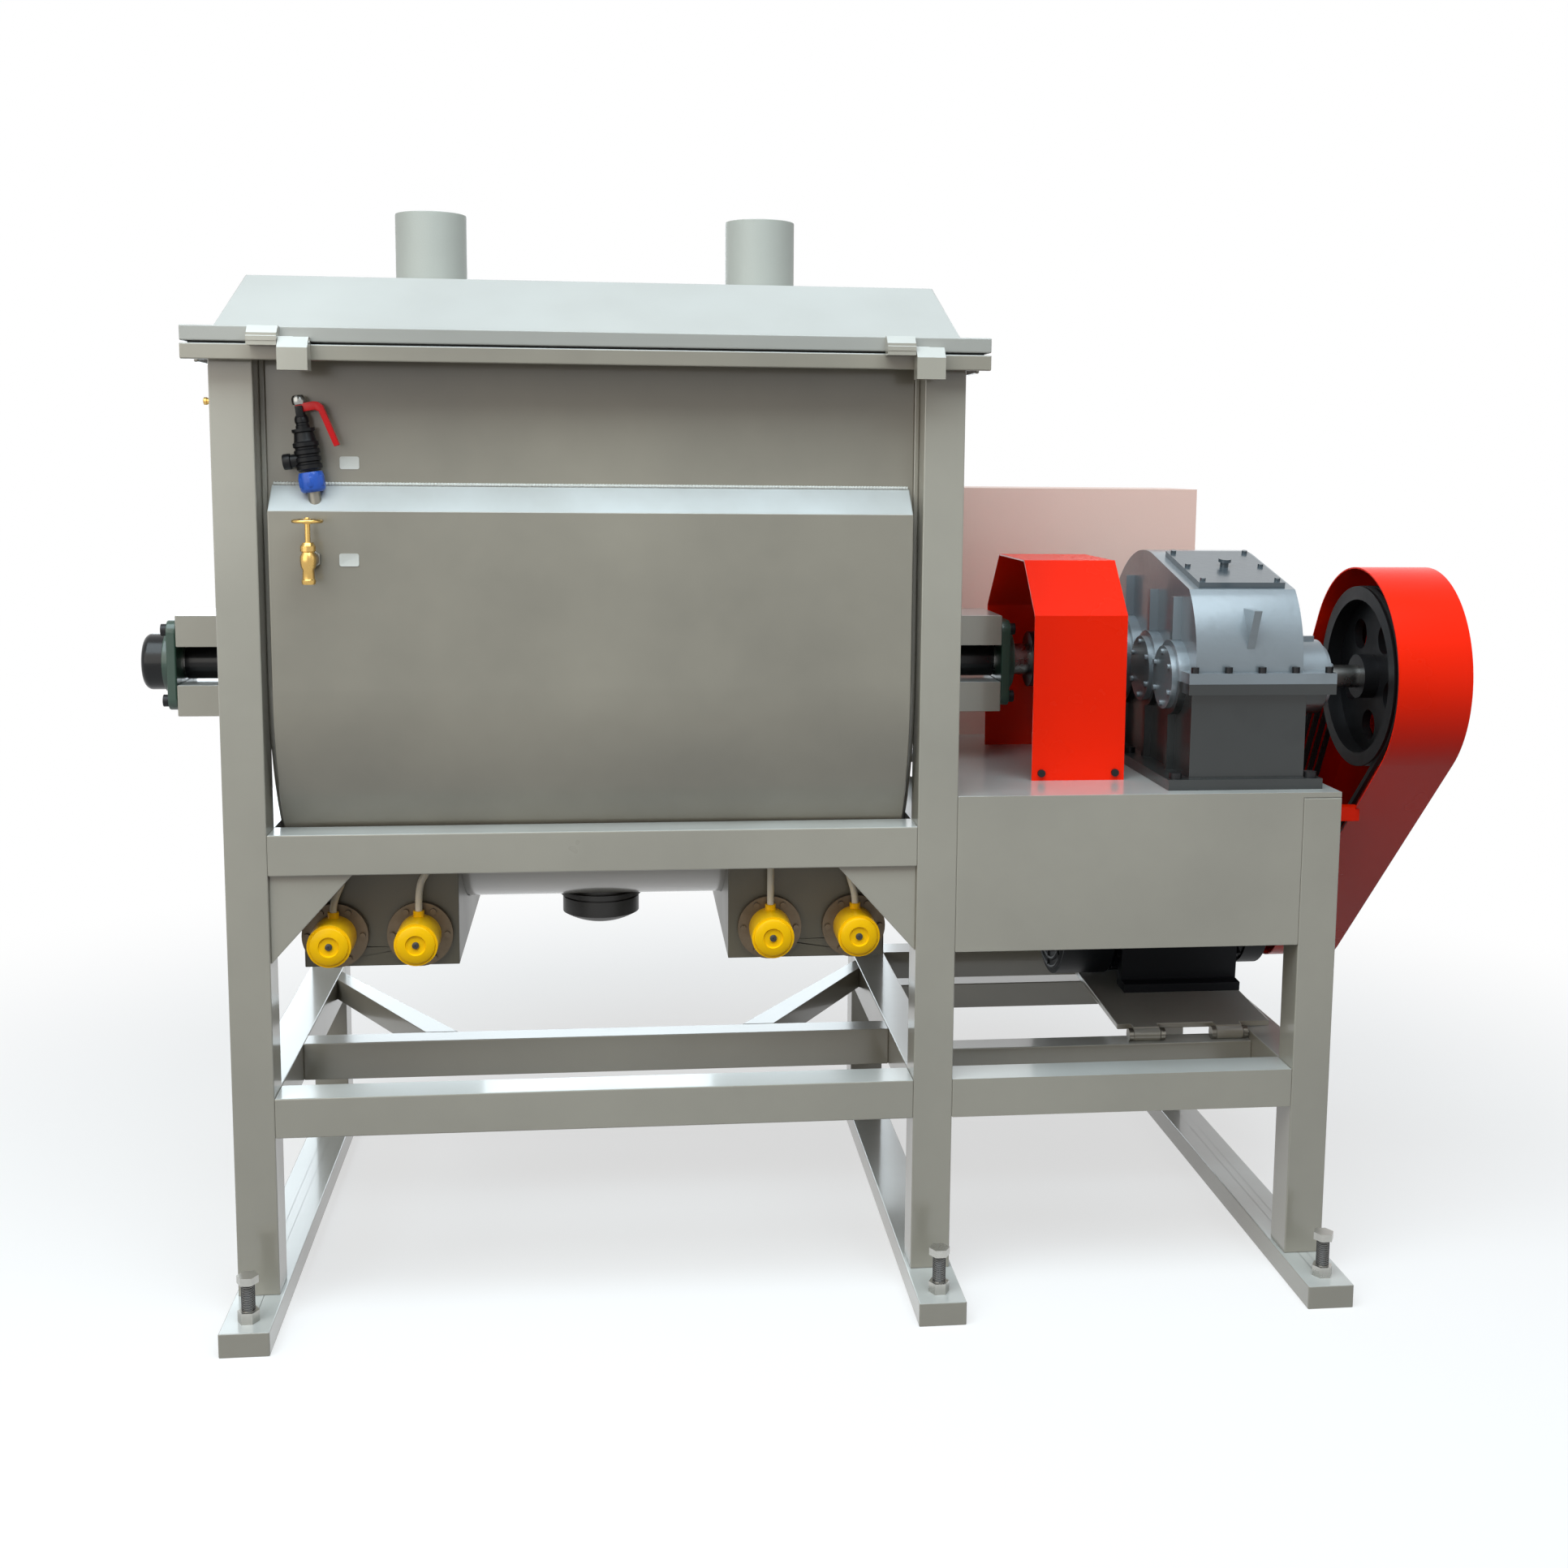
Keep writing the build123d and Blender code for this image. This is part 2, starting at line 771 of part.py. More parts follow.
# Lid: a lipped flange and a hip roof of one sheet, with two inlet holes in its flat top
roof_length = rim_length - 2 * lid_base_inset_x
roof_depth = rim_depth - 2 * lid_base_inset_y
roof_top_length = roof_length - 2 * lid_slope_x
roof_top_depth = roof_depth - 2 * lid_slope_y
lid_top = lid_flange_top + lid_rise
inlet_x = (tank_x - inlet_spacing / 2, tank_x + inlet_spacing / 2)
with BuildPart() as lid:
    with Locations((tank_x, 0, lid_bottom + lid_lip / 2)):
        Box(rim_length, rim_depth, lid_lip)
    with BuildSketch(Plane.XY.offset(lid_flange_top)):
        with Locations((tank_x, 0)):
            Rectangle(roof_length, roof_depth)
    with BuildSketch(Plane.XY.offset(lid_top)):
        with Locations((tank_x, 0)):
            Rectangle(roof_top_length, roof_top_depth)
    loft()
    with Locations((tank_x, 0, lid_bottom + (lid_lip - lid_sheet) / 2)):
        Box(
            rim_length - 2 * lid_sheet,
            rim_depth - 2 * lid_sheet,
            lid_lip - lid_sheet,
            mode=Mode.SUBTRACT,
        )
    with BuildSketch(Plane.XY.offset(lid_flange_top - lid_sheet)):
        with Locations((tank_x, 0)):
            Rectangle(roof_length - 2 * lid_sheet, roof_depth - 2 * lid_sheet)
    with BuildSketch(Plane.XY.offset(lid_top - lid_sheet)):
        with Locations((tank_x, 0)):
            Rectangle(roof_top_length - 2 * lid_sheet, roof_top_depth - 2 * lid_sheet)
    loft(mode=Mode.SUBTRACT)
    for x in inlet_x:
        with Locations((x, inlet_y, lid_top)):
            Cylinder(inlet_radius, 4 * lid_sheet, mode=Mode.SUBTRACT)
save(lid, "lid")

# Inlet pipes: plain stubs set in the lid's flat top
inlet_bottom = lid_top - lid_sheet
with BuildPart() as inlet_pipes:
    for x in inlet_x:
        with Locations((x, inlet_y, inlet_bottom + (inlet_height + lid_sheet) / 2)):
            Cylinder(inlet_radius, inlet_height + lid_sheet)
            Cylinder(inlet_radius - inlet_wall, inlet_height + lid_sheet, mode=Mode.SUBTRACT)
save(inlet_pipes, "inlet_pipes")

# Lid hinges: a bracket with its fixed pin on the rim, and a forked leaf on the lid
hinge_y = rim_depth / 2 + hinge_offset
hinge_z = rim_top + gasket_height / 2
hinge_x = [tank_x + (i - (hinge_count - 1) / 2) * hinge_spacing for i in range(hinge_count)]
hinge_pin_length = knuckle_length + 2 * (leaf_length + knuckle_gap + hinge_pin_end)


def along_x(x, y, z):
    """The place at x, y, z with its own Z along the machine's X."""
    return Location((x, y, z), (0, 90, 0))


with BuildPart() as hinge_brackets:
    for x in hinge_x:
        with Locations(along_x(x, hinge_y, hinge_z)):
            Cylinder(knuckle_radius, knuckle_length)
        with Locations((x, hinge_y - hinge_offset / 2, (rim_bottom + rim_top) / 2)):
            Box(knuckle_length, hinge_offset, rim_height)
        with Locations(along_x(x, hinge_y, hinge_z)):
            Cylinder(hinge_pin_radius, hinge_pin_length)
    with Locations((tank_x, rim_depth / 2 - hinge_offset / 2, hinge_z)):
        Box(rim_length, hinge_offset, rim_height, mode=Mode.SUBTRACT)
save(hinge_brackets, "hinge_brackets")

# Lid latches: a lug with a pin on the lid's front lip, and a hasp that hangs over the rim
latch_left_x = tank_x - rim_length / 2 + latch_inset_left - latch_width / 2
latch_right_x = tank_x + rim_length / 2 - latch_inset_right - latch_width / 2
lip_front = -rim_depth / 2
latch_pin_y = lip_front - lug_reach / 2
latch_pin_z = lid_flange_top - lug_drop / 2


def bevelled_block(x, width, face_y, reach, top, drop, bevel):
    """Adds a block with a sloped upper front edge on a face that looks to the front."""
    left = x - width / 2
    corners = (
        (face_y, top),
        (face_y - reach + bevel, top),
        (face_y - reach, top - bevel),
        (face_y - reach, top - drop),
        (face_y, top - drop),
    )
    side = Face(Wire.make_polygon([(left, y, z) for y, z in corners]))
    extrude(side, amount=width, dir=(1, 0, 0))


# Fittings on the lid: the hinge leaves at the back and the latch lugs at the front
with BuildPart() as lid_fittings:
    for x in hinge_x:
        for side in (-1, 1):
            leaf_x = x + side * (knuckle_length + leaf_length + 2 * knuckle_gap) / 2
            with Locations(along_x(leaf_x, hinge_y, hinge_z)):
                Cylinder(knuckle_radius, leaf_length)
            with Locations((leaf_x, hinge_y - hinge_offset / 2, lid_bottom + lid_lip / 2)):
                Box(leaf_length, hinge_offset, lid_lip)
            with Locations(along_x(leaf_x, hinge_y, hinge_z)):
                Cylinder(hinge_pin_radius + hinge_clearance, leaf_length, mode=Mode.SUBTRACT)
    with Locations((tank_x, rim_depth / 2 - hinge_offset / 2, hinge_z)):
        Box(rim_length, hinge_offset, 2 * rim_height, mode=Mode.SUBTRACT)
    for x in (latch_left_x, latch_right_x):
        bevelled_block(x, latch_width, lip_front, lug_reach, lid_flange_top, lid_lip, lug_bevel)
        with Locations((x, lip_front - lug_reach / 2, latch_pin_z)):
            Box(latch_width, lug_reach - 2 * hasp_gap, lug_drop - lid_lip)
        with Locations(along_x(x + latch_width / 2, latch_pin_y, latch_pin_z)):
            Cylinder(latch_pin_radius, latch_width)
save(lid_fittings, "lid_fittings")


def make_hasp(x):
    """One hasp: a bevelled block that turns on its lug's pin."""
    with BuildPart() as hasp:
        hasp_x = x + latch_width + hasp_gap
        hasp_top = lid_flange_top - hasp_top_below_lid
        bevelled_block(hasp_x, latch_width, lip_front - hasp_gap, hasp_reach, hasp_top, hasp_drop, lug_bevel)
        with Locations(along_x(hasp_x, latch_pin_y, latch_pin_z)):
            Cylinder(latch_pin_radius + hinge_clearance, latch_width, mode=Mode.SUBTRACT)
    return hasp


hasp_left = make_hasp(latch_left_x)
save(hasp_left, "latch_hasp_left")
hasp_right = make_hasp(latch_right_x)
save(hasp_right, "latch_hasp_right")

standoff_offset = (standoff_gap + standoff_height) / 2

# Stand-offs: two short box sections at each end carry the bearing flange
with BuildPart() as bearing_standoffs:
    for x in (tank_left - standoff_length / 2, tank_right + standoff_length / 2):
        for side in (-1, 1):
            with Locations((x, 0, shaft_height + side * standoff_offset)):
                hollow_bar(standoff_length, "X", standoff_depth, standoff_height, standoff_wall)
save(bearing_standoffs, "bearing_standoffs")

# Shaft seals: a stuffing box and its gland on each end plate
with BuildPart() as shaft_seals:
    for face, direction in ((tank_left, -1), (tank_right, 1)):
        with Locations(along_x(face + direction * seal_length / 2, 0, shaft_height)):
            Cylinder(min(seal_radius, standoff_gap / 2 - 2), seal_length)
        with Locations(along_x(face + direction * (seal_length + gland_length / 2), 0, shaft_height)):
            Cylinder(min(gland_radius, standoff_gap / 2 - 2), gland_length)
    with Locations(along_x(tank_x, 0, shaft_height)):
        Cylinder(shaft_radius + running_clearance, 2 * tank_bay, mode=Mode.SUBTRACT)
save(shaft_seals, "shaft_seals")

# Bearing housings: square four-bolt flanges with a round boss
bearing_faces = ((standoff_end_left, -1), (standoff_end_right, 1))
with BuildPart() as bearing_housings:
    for face, direction in bearing_faces:
        with BuildSketch(x_plane(face)):
            with Locations((0, shaft_height)):
                RectangleRounded(bearing_side, bearing_side, bearing_corner)
                with GridLocations(bearing_bolt_pitch, bearing_bolt_pitch, 2, 2):
                    Circle(bearing_bolt_radius + running_clearance, mode=Mode.SUBTRACT)
        extrude(amount=direction * bearing_flange)
        boss_x = face + direction * (bearing_flange + bearing_boss / 2)
        with Locations(along_x(boss_x, 0, shaft_height)):
            Cylinder(bearing_boss_radius, bearing_boss)
    with Locations(along_x(tank_x, 0, shaft_height)):
        Cylinder(shaft_radius + running_clearance, 3 * tank_bay, mode=Mode.SUBTRACT)
save(bearing_housings, "bearing_housings")

# Domed cap over the free end of the shaft
cap_face = standoff_end_left - bearing_flange - bearing_boss
with BuildPart() as bearing_end_cap:
    with Locations(along_x(cap_face - end_cap_length / 2, 0, shaft_height)):
        Cylinder(end_cap_radius, end_cap_length)
    fillet(bearing_end_cap.faces().sort_by(Axis.X)[0].edges(), radius=end_cap_length / 3)
    with Locations(along_x(cap_face - (end_cap_length - end_cap_wall) / 2, 0, shaft_height)):
        Cylinder(end_cap_radius - 3 * end_cap_wall, end_cap_length - end_cap_wall, mode=Mode.SUBTRACT)
save(bearing_end_cap, "bearing_end_cap")

# Outer and inner ribbons: two strands each, wound opposite ways
ribbon_start = trough_left + ribbon_end_gap
ribbon_run = trough_length - 2 * ribbon_end_gap
outer_ribbon_radius = trough_radius - ribbon_clearance


def ribbon_strands(outer_radius, width, lefthand, turn):
    """Two helical bands of one turn over the run, half a turn apart, as separate solids."""
    middle = outer_radius - width / 2
    path = Helix(
        pitch=ribbon_run, height=ribbon_run, radius=middle, direction=(1, 0, 0), lefthand=lefthand,
        mode=Mode.PRIVATE,
    )
    start = path @ 0
    section = Plane(origin=start, x_dir=start, z_dir=path % 0) * Rectangle(
        width, ribbon_thickness, mode=Mode.PRIVATE
    )
    band = sweep(section, path=path, is_frenet=True, mode=Mode.PRIVATE)
    place = Pos(ribbon_start, 0, shaft_height)
    return [place * Rot(turn + half, 0, 0) * band for half in (0, 180)]


outer_ribbons = Compound(
    children=ribbon_strands(outer_ribbon_radius, outer_ribbon_width, False, 0), label="outer_ribbons"
)
export_step(outer_ribbons, "parts/outer_ribbons.step")
inner_ribbons = Compound(
    children=ribbon_strands(inner_ribbon_radius, inner_ribbon_width, True, 90), label="inner_ribbons"
)
export_step(inner_ribbons, "parts/inner_ribbons.step")

# Main shaft: a round bar with through rods that carry the ribbons
shaft_left = standoff_end_left - bearing_flange - bearing_boss - shaft_stub
shaft_right = coupling_left + coupling_half
outer_reach = outer_ribbon_radius - outer_ribbon_width - spoke_gap
inner_reach = inner_ribbon_radius - inner_ribbon_width - spoke_gap
with BuildPart() as main_shaft:
    with Locations(along_x((shaft_left + shaft_right) / 2, 0, shaft_height)):
        Cylinder(shaft_radius, shaft_right - shaft_left)
    for share in outer_spokes:
        turn = 360 * share
        with Locations(Location((ribbon_start + share * ribbon_run, 0, shaft_height), (turn, 0, 0))):
            Cylinder(spoke_radius, 2 * outer_reach)
    for share in inner_spokes:
        turn = 90 - 360 * share
        with Locations(Location((ribbon_start + share * ribbon_run, 0, shaft_height), (turn, 0, 0))):
            Cylinder(spoke_radius, 2 * inner_reach)
save(main_shaft, "main_shaft")


def coupling_half_at(hub_left, direction):
    """Adds one coupling half: a hub with a disc on the side that meets the other half."""
    with Locations(along_x(hub_left + coupling_half / 2, 0, shaft_height)):
        Cylinder(coupling_hub_radius, coupling_half)
    disc_x = hub_left + coupling_half / 2 + direction * (coupling_half - coupling_disc) / 2
    with Locations(along_x(disc_x, 0, shaft_height)):
        Cylinder(coupling_radius, coupling_disc)


# Coupling halves, joined by pins in a circle
with BuildPart() as coupling_halves:
    coupling_half_at(coupling_left, 1)
    coupling_half_at(coupling_left + coupling_half + coupling_slit, -1)
    coupling_mid = (coupling_left + coupling_right) / 2
    with Locations(along_x(coupling_mid, 0, shaft_height)):
        with PolarLocations((coupling_radius + coupling_hub_radius) / 2, coupling_pins):
            Cylinder(coupling_pin_radius, 2 * coupling_disc + coupling_slit + 2 * coupling_pin_radius)
    with Locations(along_x(coupling_mid, 0, shaft_height)):
        Cylinder(shaft_radius, coupling_right - coupling_left, mode=Mode.SUBTRACT)
save(coupling_halves, "coupling_halves")

# Reducer lower half: a box on a base flange, with half bosses under the split
reducer_mid = (reducer_left + reducer_right) / 2
reducer_front = input_axis_y - reducer_front_reach
reducer_back = reducer_back_reach
split_under = shaft_height - split_flange
boss_left = reducer_left - boss_reach_left
boss_right = reducer_right + boss_reach_right
shaft_lines = ((input_axis_y, input_boss_radius), (middle_axis_y, middle_boss_radius), (0, output_boss_radius))
output_end = reducer_right + bearing_pocket
input_start = reducer_left


def bored_through(extra):
    """Bores the input and output shafts' ways through the current half."""
    with Locations(along_x(boss_left + (output_end + extra - boss_left) / 2, 0, shaft_height)):
        Cylinder(output_shaft_radius + running_clearance, output_end + extra - boss_left, mode=Mode.SUBTRACT)
    with Locations(along_x((input_start - extra + boss_right) / 2, input_axis_y, shaft_height)):
        Cylinder(input_shaft_radius + running_clearance, boss_right - input_start + extra, mode=Mode.SUBTRACT)


def boss_row():
    """Adds the six bearing bosses across the housing."""
    for y, radius in shaft_lines:
        with Locations(along_x((boss_left + boss_right) / 2, y, shaft_height)):
            Cylinder(radius, boss_right - boss_left)


reducer_depth = reducer_back - reducer_front
reducer_y = (reducer_back + reducer_front) / 2
with BuildPart() as reducer_lower:
    with Locations((reducer_mid, reducer_y, (platform_top + shaft_height) / 2)):
        Box(reducer_right - reducer_left, reducer_depth - 2 * split_lip, shaft_height - platform_top)
    with Locations(((foot_left + foot_right) / 2, reducer_y, platform_top + foot_height / 2)):
        Box(foot_right - foot_left, reducer_depth, foot_height)
    with Locations(((boss_left + boss_right) / 2, reducer_y, shaft_height - split_flange / 2)):
        Box(boss_right - boss_left - 2 * boss_proud, reducer_depth, split_flange)
    boss_row()
    for y, radius in shaft_lines:
        for side in (-1, 1):
            rib_x = reducer_mid + side * (reducer_right - reducer_left + boss_reach_left) / 2
            with Locations((rib_x, y, (platform_top + foot_height + shaft_height) / 2)):
                Box(boss_reach_left, rib_thickness, shaft_height - platform_top - foot_height)
    with Locations((reducer_mid, reducer_y, shaft_height + output_boss_radius)):
        Box(2 * reducer_depth, 2 * reducer_depth, 2 * output_boss_radius, mode=Mode.SUBTRACT)
    with Locations((reducer_mid, reducer_y, (platform_top + reducer_wall + shaft_height) / 2)):
        Box(
            reducer_right - reducer_left - 2 * reducer_wall,
            reducer_depth - 2 * split_lip - 2 * reducer_wall,
            shaft_height - platform_top - reducer_wall,
            mode=Mode.SUBTRACT,
        )
    bored_through(end_float)
save(reducer_lower, "reducer_lower")

# Reducer upper half: a rounded housing with a sloped flat for the inspection cover
split_top = shaft_height + split_flange


def over_shaft(point):
    """A point of Y and height over the shaft, in Y and Z."""
    return (point[0], shaft_height + point[1])


upper_outline = [over_shaft(point) for point in (upper_front_mid, cover_front, cover_back, upper_back_mid)]
upper_front = reducer_front + split_lip
upper_back = reducer_back - split_lip
with BuildPart() as reducer_upper:
    with BuildSketch(x_plane(upper_left)) as upper_profile:
        with BuildLine():
            ThreePointArc((upper_front, split_top), upper_outline[0], upper_outline[1])
            Line(upper_outline[1], upper_outline[2])
            ThreePointArc(upper_outline[2], upper_outline[3], (upper_back, split_top))
            Polyline(
                (upper_back, split_top), (upper_back, shaft_height), (upper_front, shaft_height),
                (upper_front, split_top),
            )
        make_face()
    extrude(amount=upper_right - upper_left)
    with Locations(((boss_left + boss_right) / 2, reducer_y, shaft_height + split_flange / 2)):
        Box(boss_right - boss_left - 2 * boss_proud, reducer_depth, split_flange)
    boss_row()
    for y, radius in shaft_lines:
        with Locations(((boss_left + upper_left) / 2 + boss_proud, y, shaft_height + radius + side_rib / 2)):
            Box(upper_left - boss_left, rib_thickness, side_rib)
        with Locations(((boss_right + upper_right) / 2 - boss_proud, y, shaft_height + radius)):
            Box(boss_right - upper_right - 2 * boss_proud, rib_thickness, rib_thickness)
    with BuildSketch(x_plane(reducer_mid - rib_thickness / 2)):
        with BuildLine():
            Polyline(
                (upper_front + rib_thickness, split_top + hook_foot),
                (upper_front - hook_reach, split_top + hook_height),
                (upper_front + hook_depth, split_top + hook_height),
                (upper_front + hook_depth, split_top + hook_foot),
                close=True,
            )
        make_face()
    extrude(amount=rib_thickness)
    with Locations((reducer_mid, reducer_y, shaft_height - output_boss_radius)):
        Box(2 * reducer_depth, 2 * reducer_depth, 2 * output_boss_radius, mode=Mode.SUBTRACT)
    with BuildSketch(x_plane(upper_left + reducer_wall)):
        add(upper_profile.sketch_local)
        offset(amount=-reducer_wall, mode=Mode.REPLACE)
        with Locations((reducer_y, shaft_height + reducer_wall)):
            Rectangle(upper_back - upper_front - 2 * reducer_wall, 2 * reducer_wall)
    extrude(amount=upper_right - upper_left - 2 * reducer_wall, mode=Mode.SUBTRACT)
    bored_through(end_float)
save(reducer_upper, "reducer_upper")

# Inspection cover on the sloped flat, with a breather plug
cover_run = (cover_back[0] - cover_front[0], cover_back[1] - cover_front[1])
cover_length = sqrt(cover_run[0] ** 2 + cover_run[1] ** 2)
cover_slope = degrees(atan2(cover_run[1], cover_run[0]))
cover_middle = (
    reducer_mid, (cover_front[0] + cover_back[0]) / 2,
    shaft_height + (cover_front[1] + cover_back[1]) / 2,
)
with BuildPart() as inspection_cover:
    with Locations(Location(cover_middle, (cover_slope, 0, 0))):
        with Locations((0, 0, cover_thickness / 2)):
            Box(cover_width, cover_length - 2 * cover_margin, cover_thickness)
        with Locations((0, 0, cover_thickness + breather_height / 2)):
            Cylinder(breather_radius, breather_height)
        with Locations((0, 0, cover_thickness + breather_height)):
            Cylinder(1.5 * breather_radius, breather_height / 2)
        with GridLocations(cover_width - 3 * cover_margin, cover_length / 2 - 3 * cover_margin, 2, 3):
            with Locations((0, 0, cover_thickness + bolt_head_height / 2)):
                Cylinder(cover_bolt_radius, bolt_head_height)
save(inspection_cover, "inspection_cover")

# Bearing caps on the reducer's bosses, open where a shaft comes out
with BuildPart() as reducer_caps:
    for y, radius in shaft_lines:
        for face, direction in ((boss_left, -1), (boss_right, 1)):
            with Locations(along_x(face + direction * cap_thickness / 2, y, shaft_height)):
                Cylinder(radius - cap_inset, cap_thickness)
                with PolarLocations(radius - 2 * cap_inset, cap_bolts):
                    Cylinder(cover_bolt_radius, cap_thickness + 2 * bolt_head_height)
    with Locations(along_x(boss_left - cap_thickness, 0, shaft_height)):
        Cylinder(output_shaft_radius + cap_clear, 4 * cap_thickness, mode=Mode.SUBTRACT)
    with Locations(along_x(boss_right + cap_thickness, input_axis_y, shaft_height)):
        Cylinder(input_shaft_radius + cap_clear, 4 * cap_thickness, mode=Mode.SUBTRACT)
    with Locations(((boss_left + boss_right) / 2, reducer_y, shaft_height)):
        Box(boss_right - boss_left, reducer_depth, 4 * output_boss_radius, mode=Mode.SUBTRACT)
save(reducer_caps, "reducer_caps")

# Output shaft, stepped down for the coupling
with BuildPart() as output_shaft:
    step_left = coupling_left + coupling_half + coupling_slit
    with Locations(along_x((step_left + coupling_right) / 2, 0, shaft_height)):
        Cylinder(shaft_radius, coupling_right - step_left)
    with Locations(along_x((coupling_right + output_end) / 2, 0, shaft_height)):
        Cylinder(output_shaft_radius, output_end - coupling_right)
save(output_shaft, "output_shaft")

# Input shaft, out to the large pulley
with BuildPart() as input_shaft:
    with Locations(along_x((input_start + pulley_right) / 2, input_axis_y, shaft_height)):
        Cylinder(input_shaft_radius, pulley_right - input_start)
save(input_shaft, "input_shaft")

# Motor plate geometry: the motor's axis follows from the hinge, the tilt and the shaft height
tilt = radians(plate_tilt)
motor_local_z = plate_lift + plate_thickness + motor_shaft_height
plate_hinge_z = motor_rail_top + plate_knuckle_radius
motor_y = plate_hinge_y + foot_from_hinge * cos(tilt) - motor_local_z * sin(tilt)
motor_z = plate_hinge_z + foot_from_hinge * sin(tilt) + motor_local_z * cos(tilt)
tilted = Location((0, plate_hinge_y, plate_hinge_z), (plate_tilt, 0, 0))


def sheave(radius, bore, hub_radius, web):
    """A grooved pulley about X, from x = 0 to the pulley's width."""
    width = pulley_width
    first = (width - (groove_count - 1) * groove_pitch) / 2
    line = [(0, radius)]
    for i in range(groove_count):
        middle = first + i * groove_pitch
        line += [
            (middle - groove_top / 2, radius),
            (middle - groove_bottom / 2, radius - groove_depth),
            (middle + groove_bottom / 2, radius - groove_depth),
            (middle + groove_top / 2, radius),
        ]
    line += [(width, radius)]
    if web:
        inner = radius - groove_depth - pulley_rim
        line += [
            (width, inner), ((width + web) / 2, inner), ((width + web) / 2, hub_radius), (width, hub_radius),
            (width, bore), (0, bore),
            (0, hub_radius), ((width - web) / 2, hub_radius), ((width - web) / 2, inner), (0, inner),
        ]
    else:
        line += [(width, bore), (0, bore)]
    return revolve(Face(Wire.make_polygon([(x, r, 0) for x, r in line])), axis=Axis.X, mode=Mode.PRIVATE)


# Large pulley on the reducer's input shaft, with round holes in its web
with BuildPart() as large_pulley:
    add(sheave(large_pulley_radius, input_shaft_radius, pulley_hub_radius, pulley_web))
    with Locations(along_x(pulley_width / 2, 0, 0)):
        with PolarLocations(web_hole_circle, web_holes):
            Cylinder(web_hole_radius, 2 * pulley_web, mode=Mode.SUBTRACT)
large_pulley.part.position = (pulley_left, input_axis_y, shaft_height)
save(large_pulley, "large_pulley")

# Motor pulley
with BuildPart() as motor_pulley:
    add(sheave(motor_pulley_radius, motor_shaft_radius, 0, 0))
motor_pulley.part.position = (pulley_left, motor_y, motor_z)
save(motor_pulley, "motor_pulley")


def loop_outline(x, extra):
    """The outline round both pulleys, grown by an amount, in the plane at x."""
    dy, dz = motor_y - input_axis_y, motor_z - shaft_height
    big, small = large_pulley_radius + extra[0], motor_pulley_radius + extra[1]
    lean = atan2(dz, dy)
    spread = acos((big - small) / sqrt(dy**2 + dz**2))

    def on_circle(centre, radius, angle):
        return (x, centre[0] + radius * cos(angle), centre[1] + radius * sin(angle))

    top, bottom = (input_axis_y, shaft_height), (motor_y, motor_z)
    a1 = on_circle(top, big, lean + spread)
    a2 = on_circle(top, big, lean + pi)
    a3 = on_circle(top, big, lean - spread)
    b1 = on_circle(bottom, small, lean - spread)
    b2 = on_circle(bottom, small, lean)
    b3 = on_circle(bottom, small, lean + spread)
    edges = [
        Edge.make_three_point_arc(a1, a2, a3), Edge.make_line(a3, b1),
        Edge.make_three_point_arc(b1, b2, b3), Edge.make_line(b3, a1),
    ]
    return Face(Wire(edges))


# V-belts: plain loops that lie in the grooves
with BuildPart() as v_belts:
    first_belt = (pulley_left + pulley_right - (groove_count - 1) * groove_pitch - belt_width) / 2
    for i in range(groove_count):
        belt_x = first_belt + i * groove_pitch
        extrude(loop_outline(belt_x, (belt_proud, belt_proud)), amount=belt_width, dir=(1, 0, 0))
        inside = belt_proud - belt_height
        extrude(
            loop_outline(belt_x, (inside, inside)), amount=belt_width, dir=(1, 0, 0), mode=Mode.SUBTRACT
        )
save(v_belts, "v_belts")

# Belt guard: a shell round both pulleys, open towards the machine
grow = (guard_radius_large - large_pulley_radius, guard_radius_small - motor_pulley_radius)
grow_inside = (grow[0] - guard_sheet, grow[1] - guard_sheet)
with BuildPart() as belt_guard:
    extrude(loop_outline(guard_left, grow), amount=guard_right - guard_left, dir=(1, 0, 0))
    extrude(
        loop_outline(guard_left, grow_inside), amount=guard_right - guard_left - guard_sheet,
        dir=(1, 0, 0), mode=Mode.SUBTRACT,
    )
    for y, height in guard_brackets:
        with Locations(((platform_right + guard_left + bracket_hold) / 2, y, platform_under + height)):
            Box(guard_left + bracket_hold - platform_right, bracket_width, bracket_width)
save(belt_guard, "belt_guard")

# Coupling guard: a folded sheet that stands on the platform
with BuildPart() as coupling_guard:
    with BuildSketch(x_plane(coupling_guard_left)):
        Polygon(*[(y, platform_top + height) for y, height in coupling_guard_line], align=None)
        with Locations((0, 0)):
            offset(amount=-guard_sheet, mode=Mode.SUBTRACT)
        with Locations(((coupling_guard_line[0][0] + coupling_guard_line[-1][0]) / 2, platform_top)):
            Rectangle(
                coupling_guard_line[-1][0] - coupling_guard_line[0][0] - 2 * guard_sheet, 4 * guard_sheet,
                mode=Mode.SUBTRACT,
            )
    extrude(amount=coupling_guard_length)
save(coupling_guard, "coupling_guard")

# Motor plate, on two knuckles that turn on the hinge pins
plate_mid = (plate_left + plate_right) / 2
knuckle_places = (plate_left + plate_knuckle_left, plate_right - plate_knuckle_right)
with BuildPart() as motor_plate:
    with Locations((plate_mid, (plate_front + plate_length) / 2, plate_lift + plate_thickness / 2)):
        Box(plate_right - plate_left, plate_length - plate_front, plate_thickness)
    for x in knuckle_places:
        with Locations(along_x(x, 0, 0)):
            Cylinder(plate_knuckle_radius, plate_knuckle)
        with Locations((x, plate_front / 2, plate_lift + plate_thickness / 2)):
            Box(plate_knuckle, plate_front, plate_thickness)
        with Locations(along_x(x, 0, 0)):
            Cylinder(plate_pin_radius + running_clearance, 2 * plate_knuckle, mode=Mode.SUBTRACT)
motor_plate.part.location = tilted
save(motor_plate, "motor_plate")

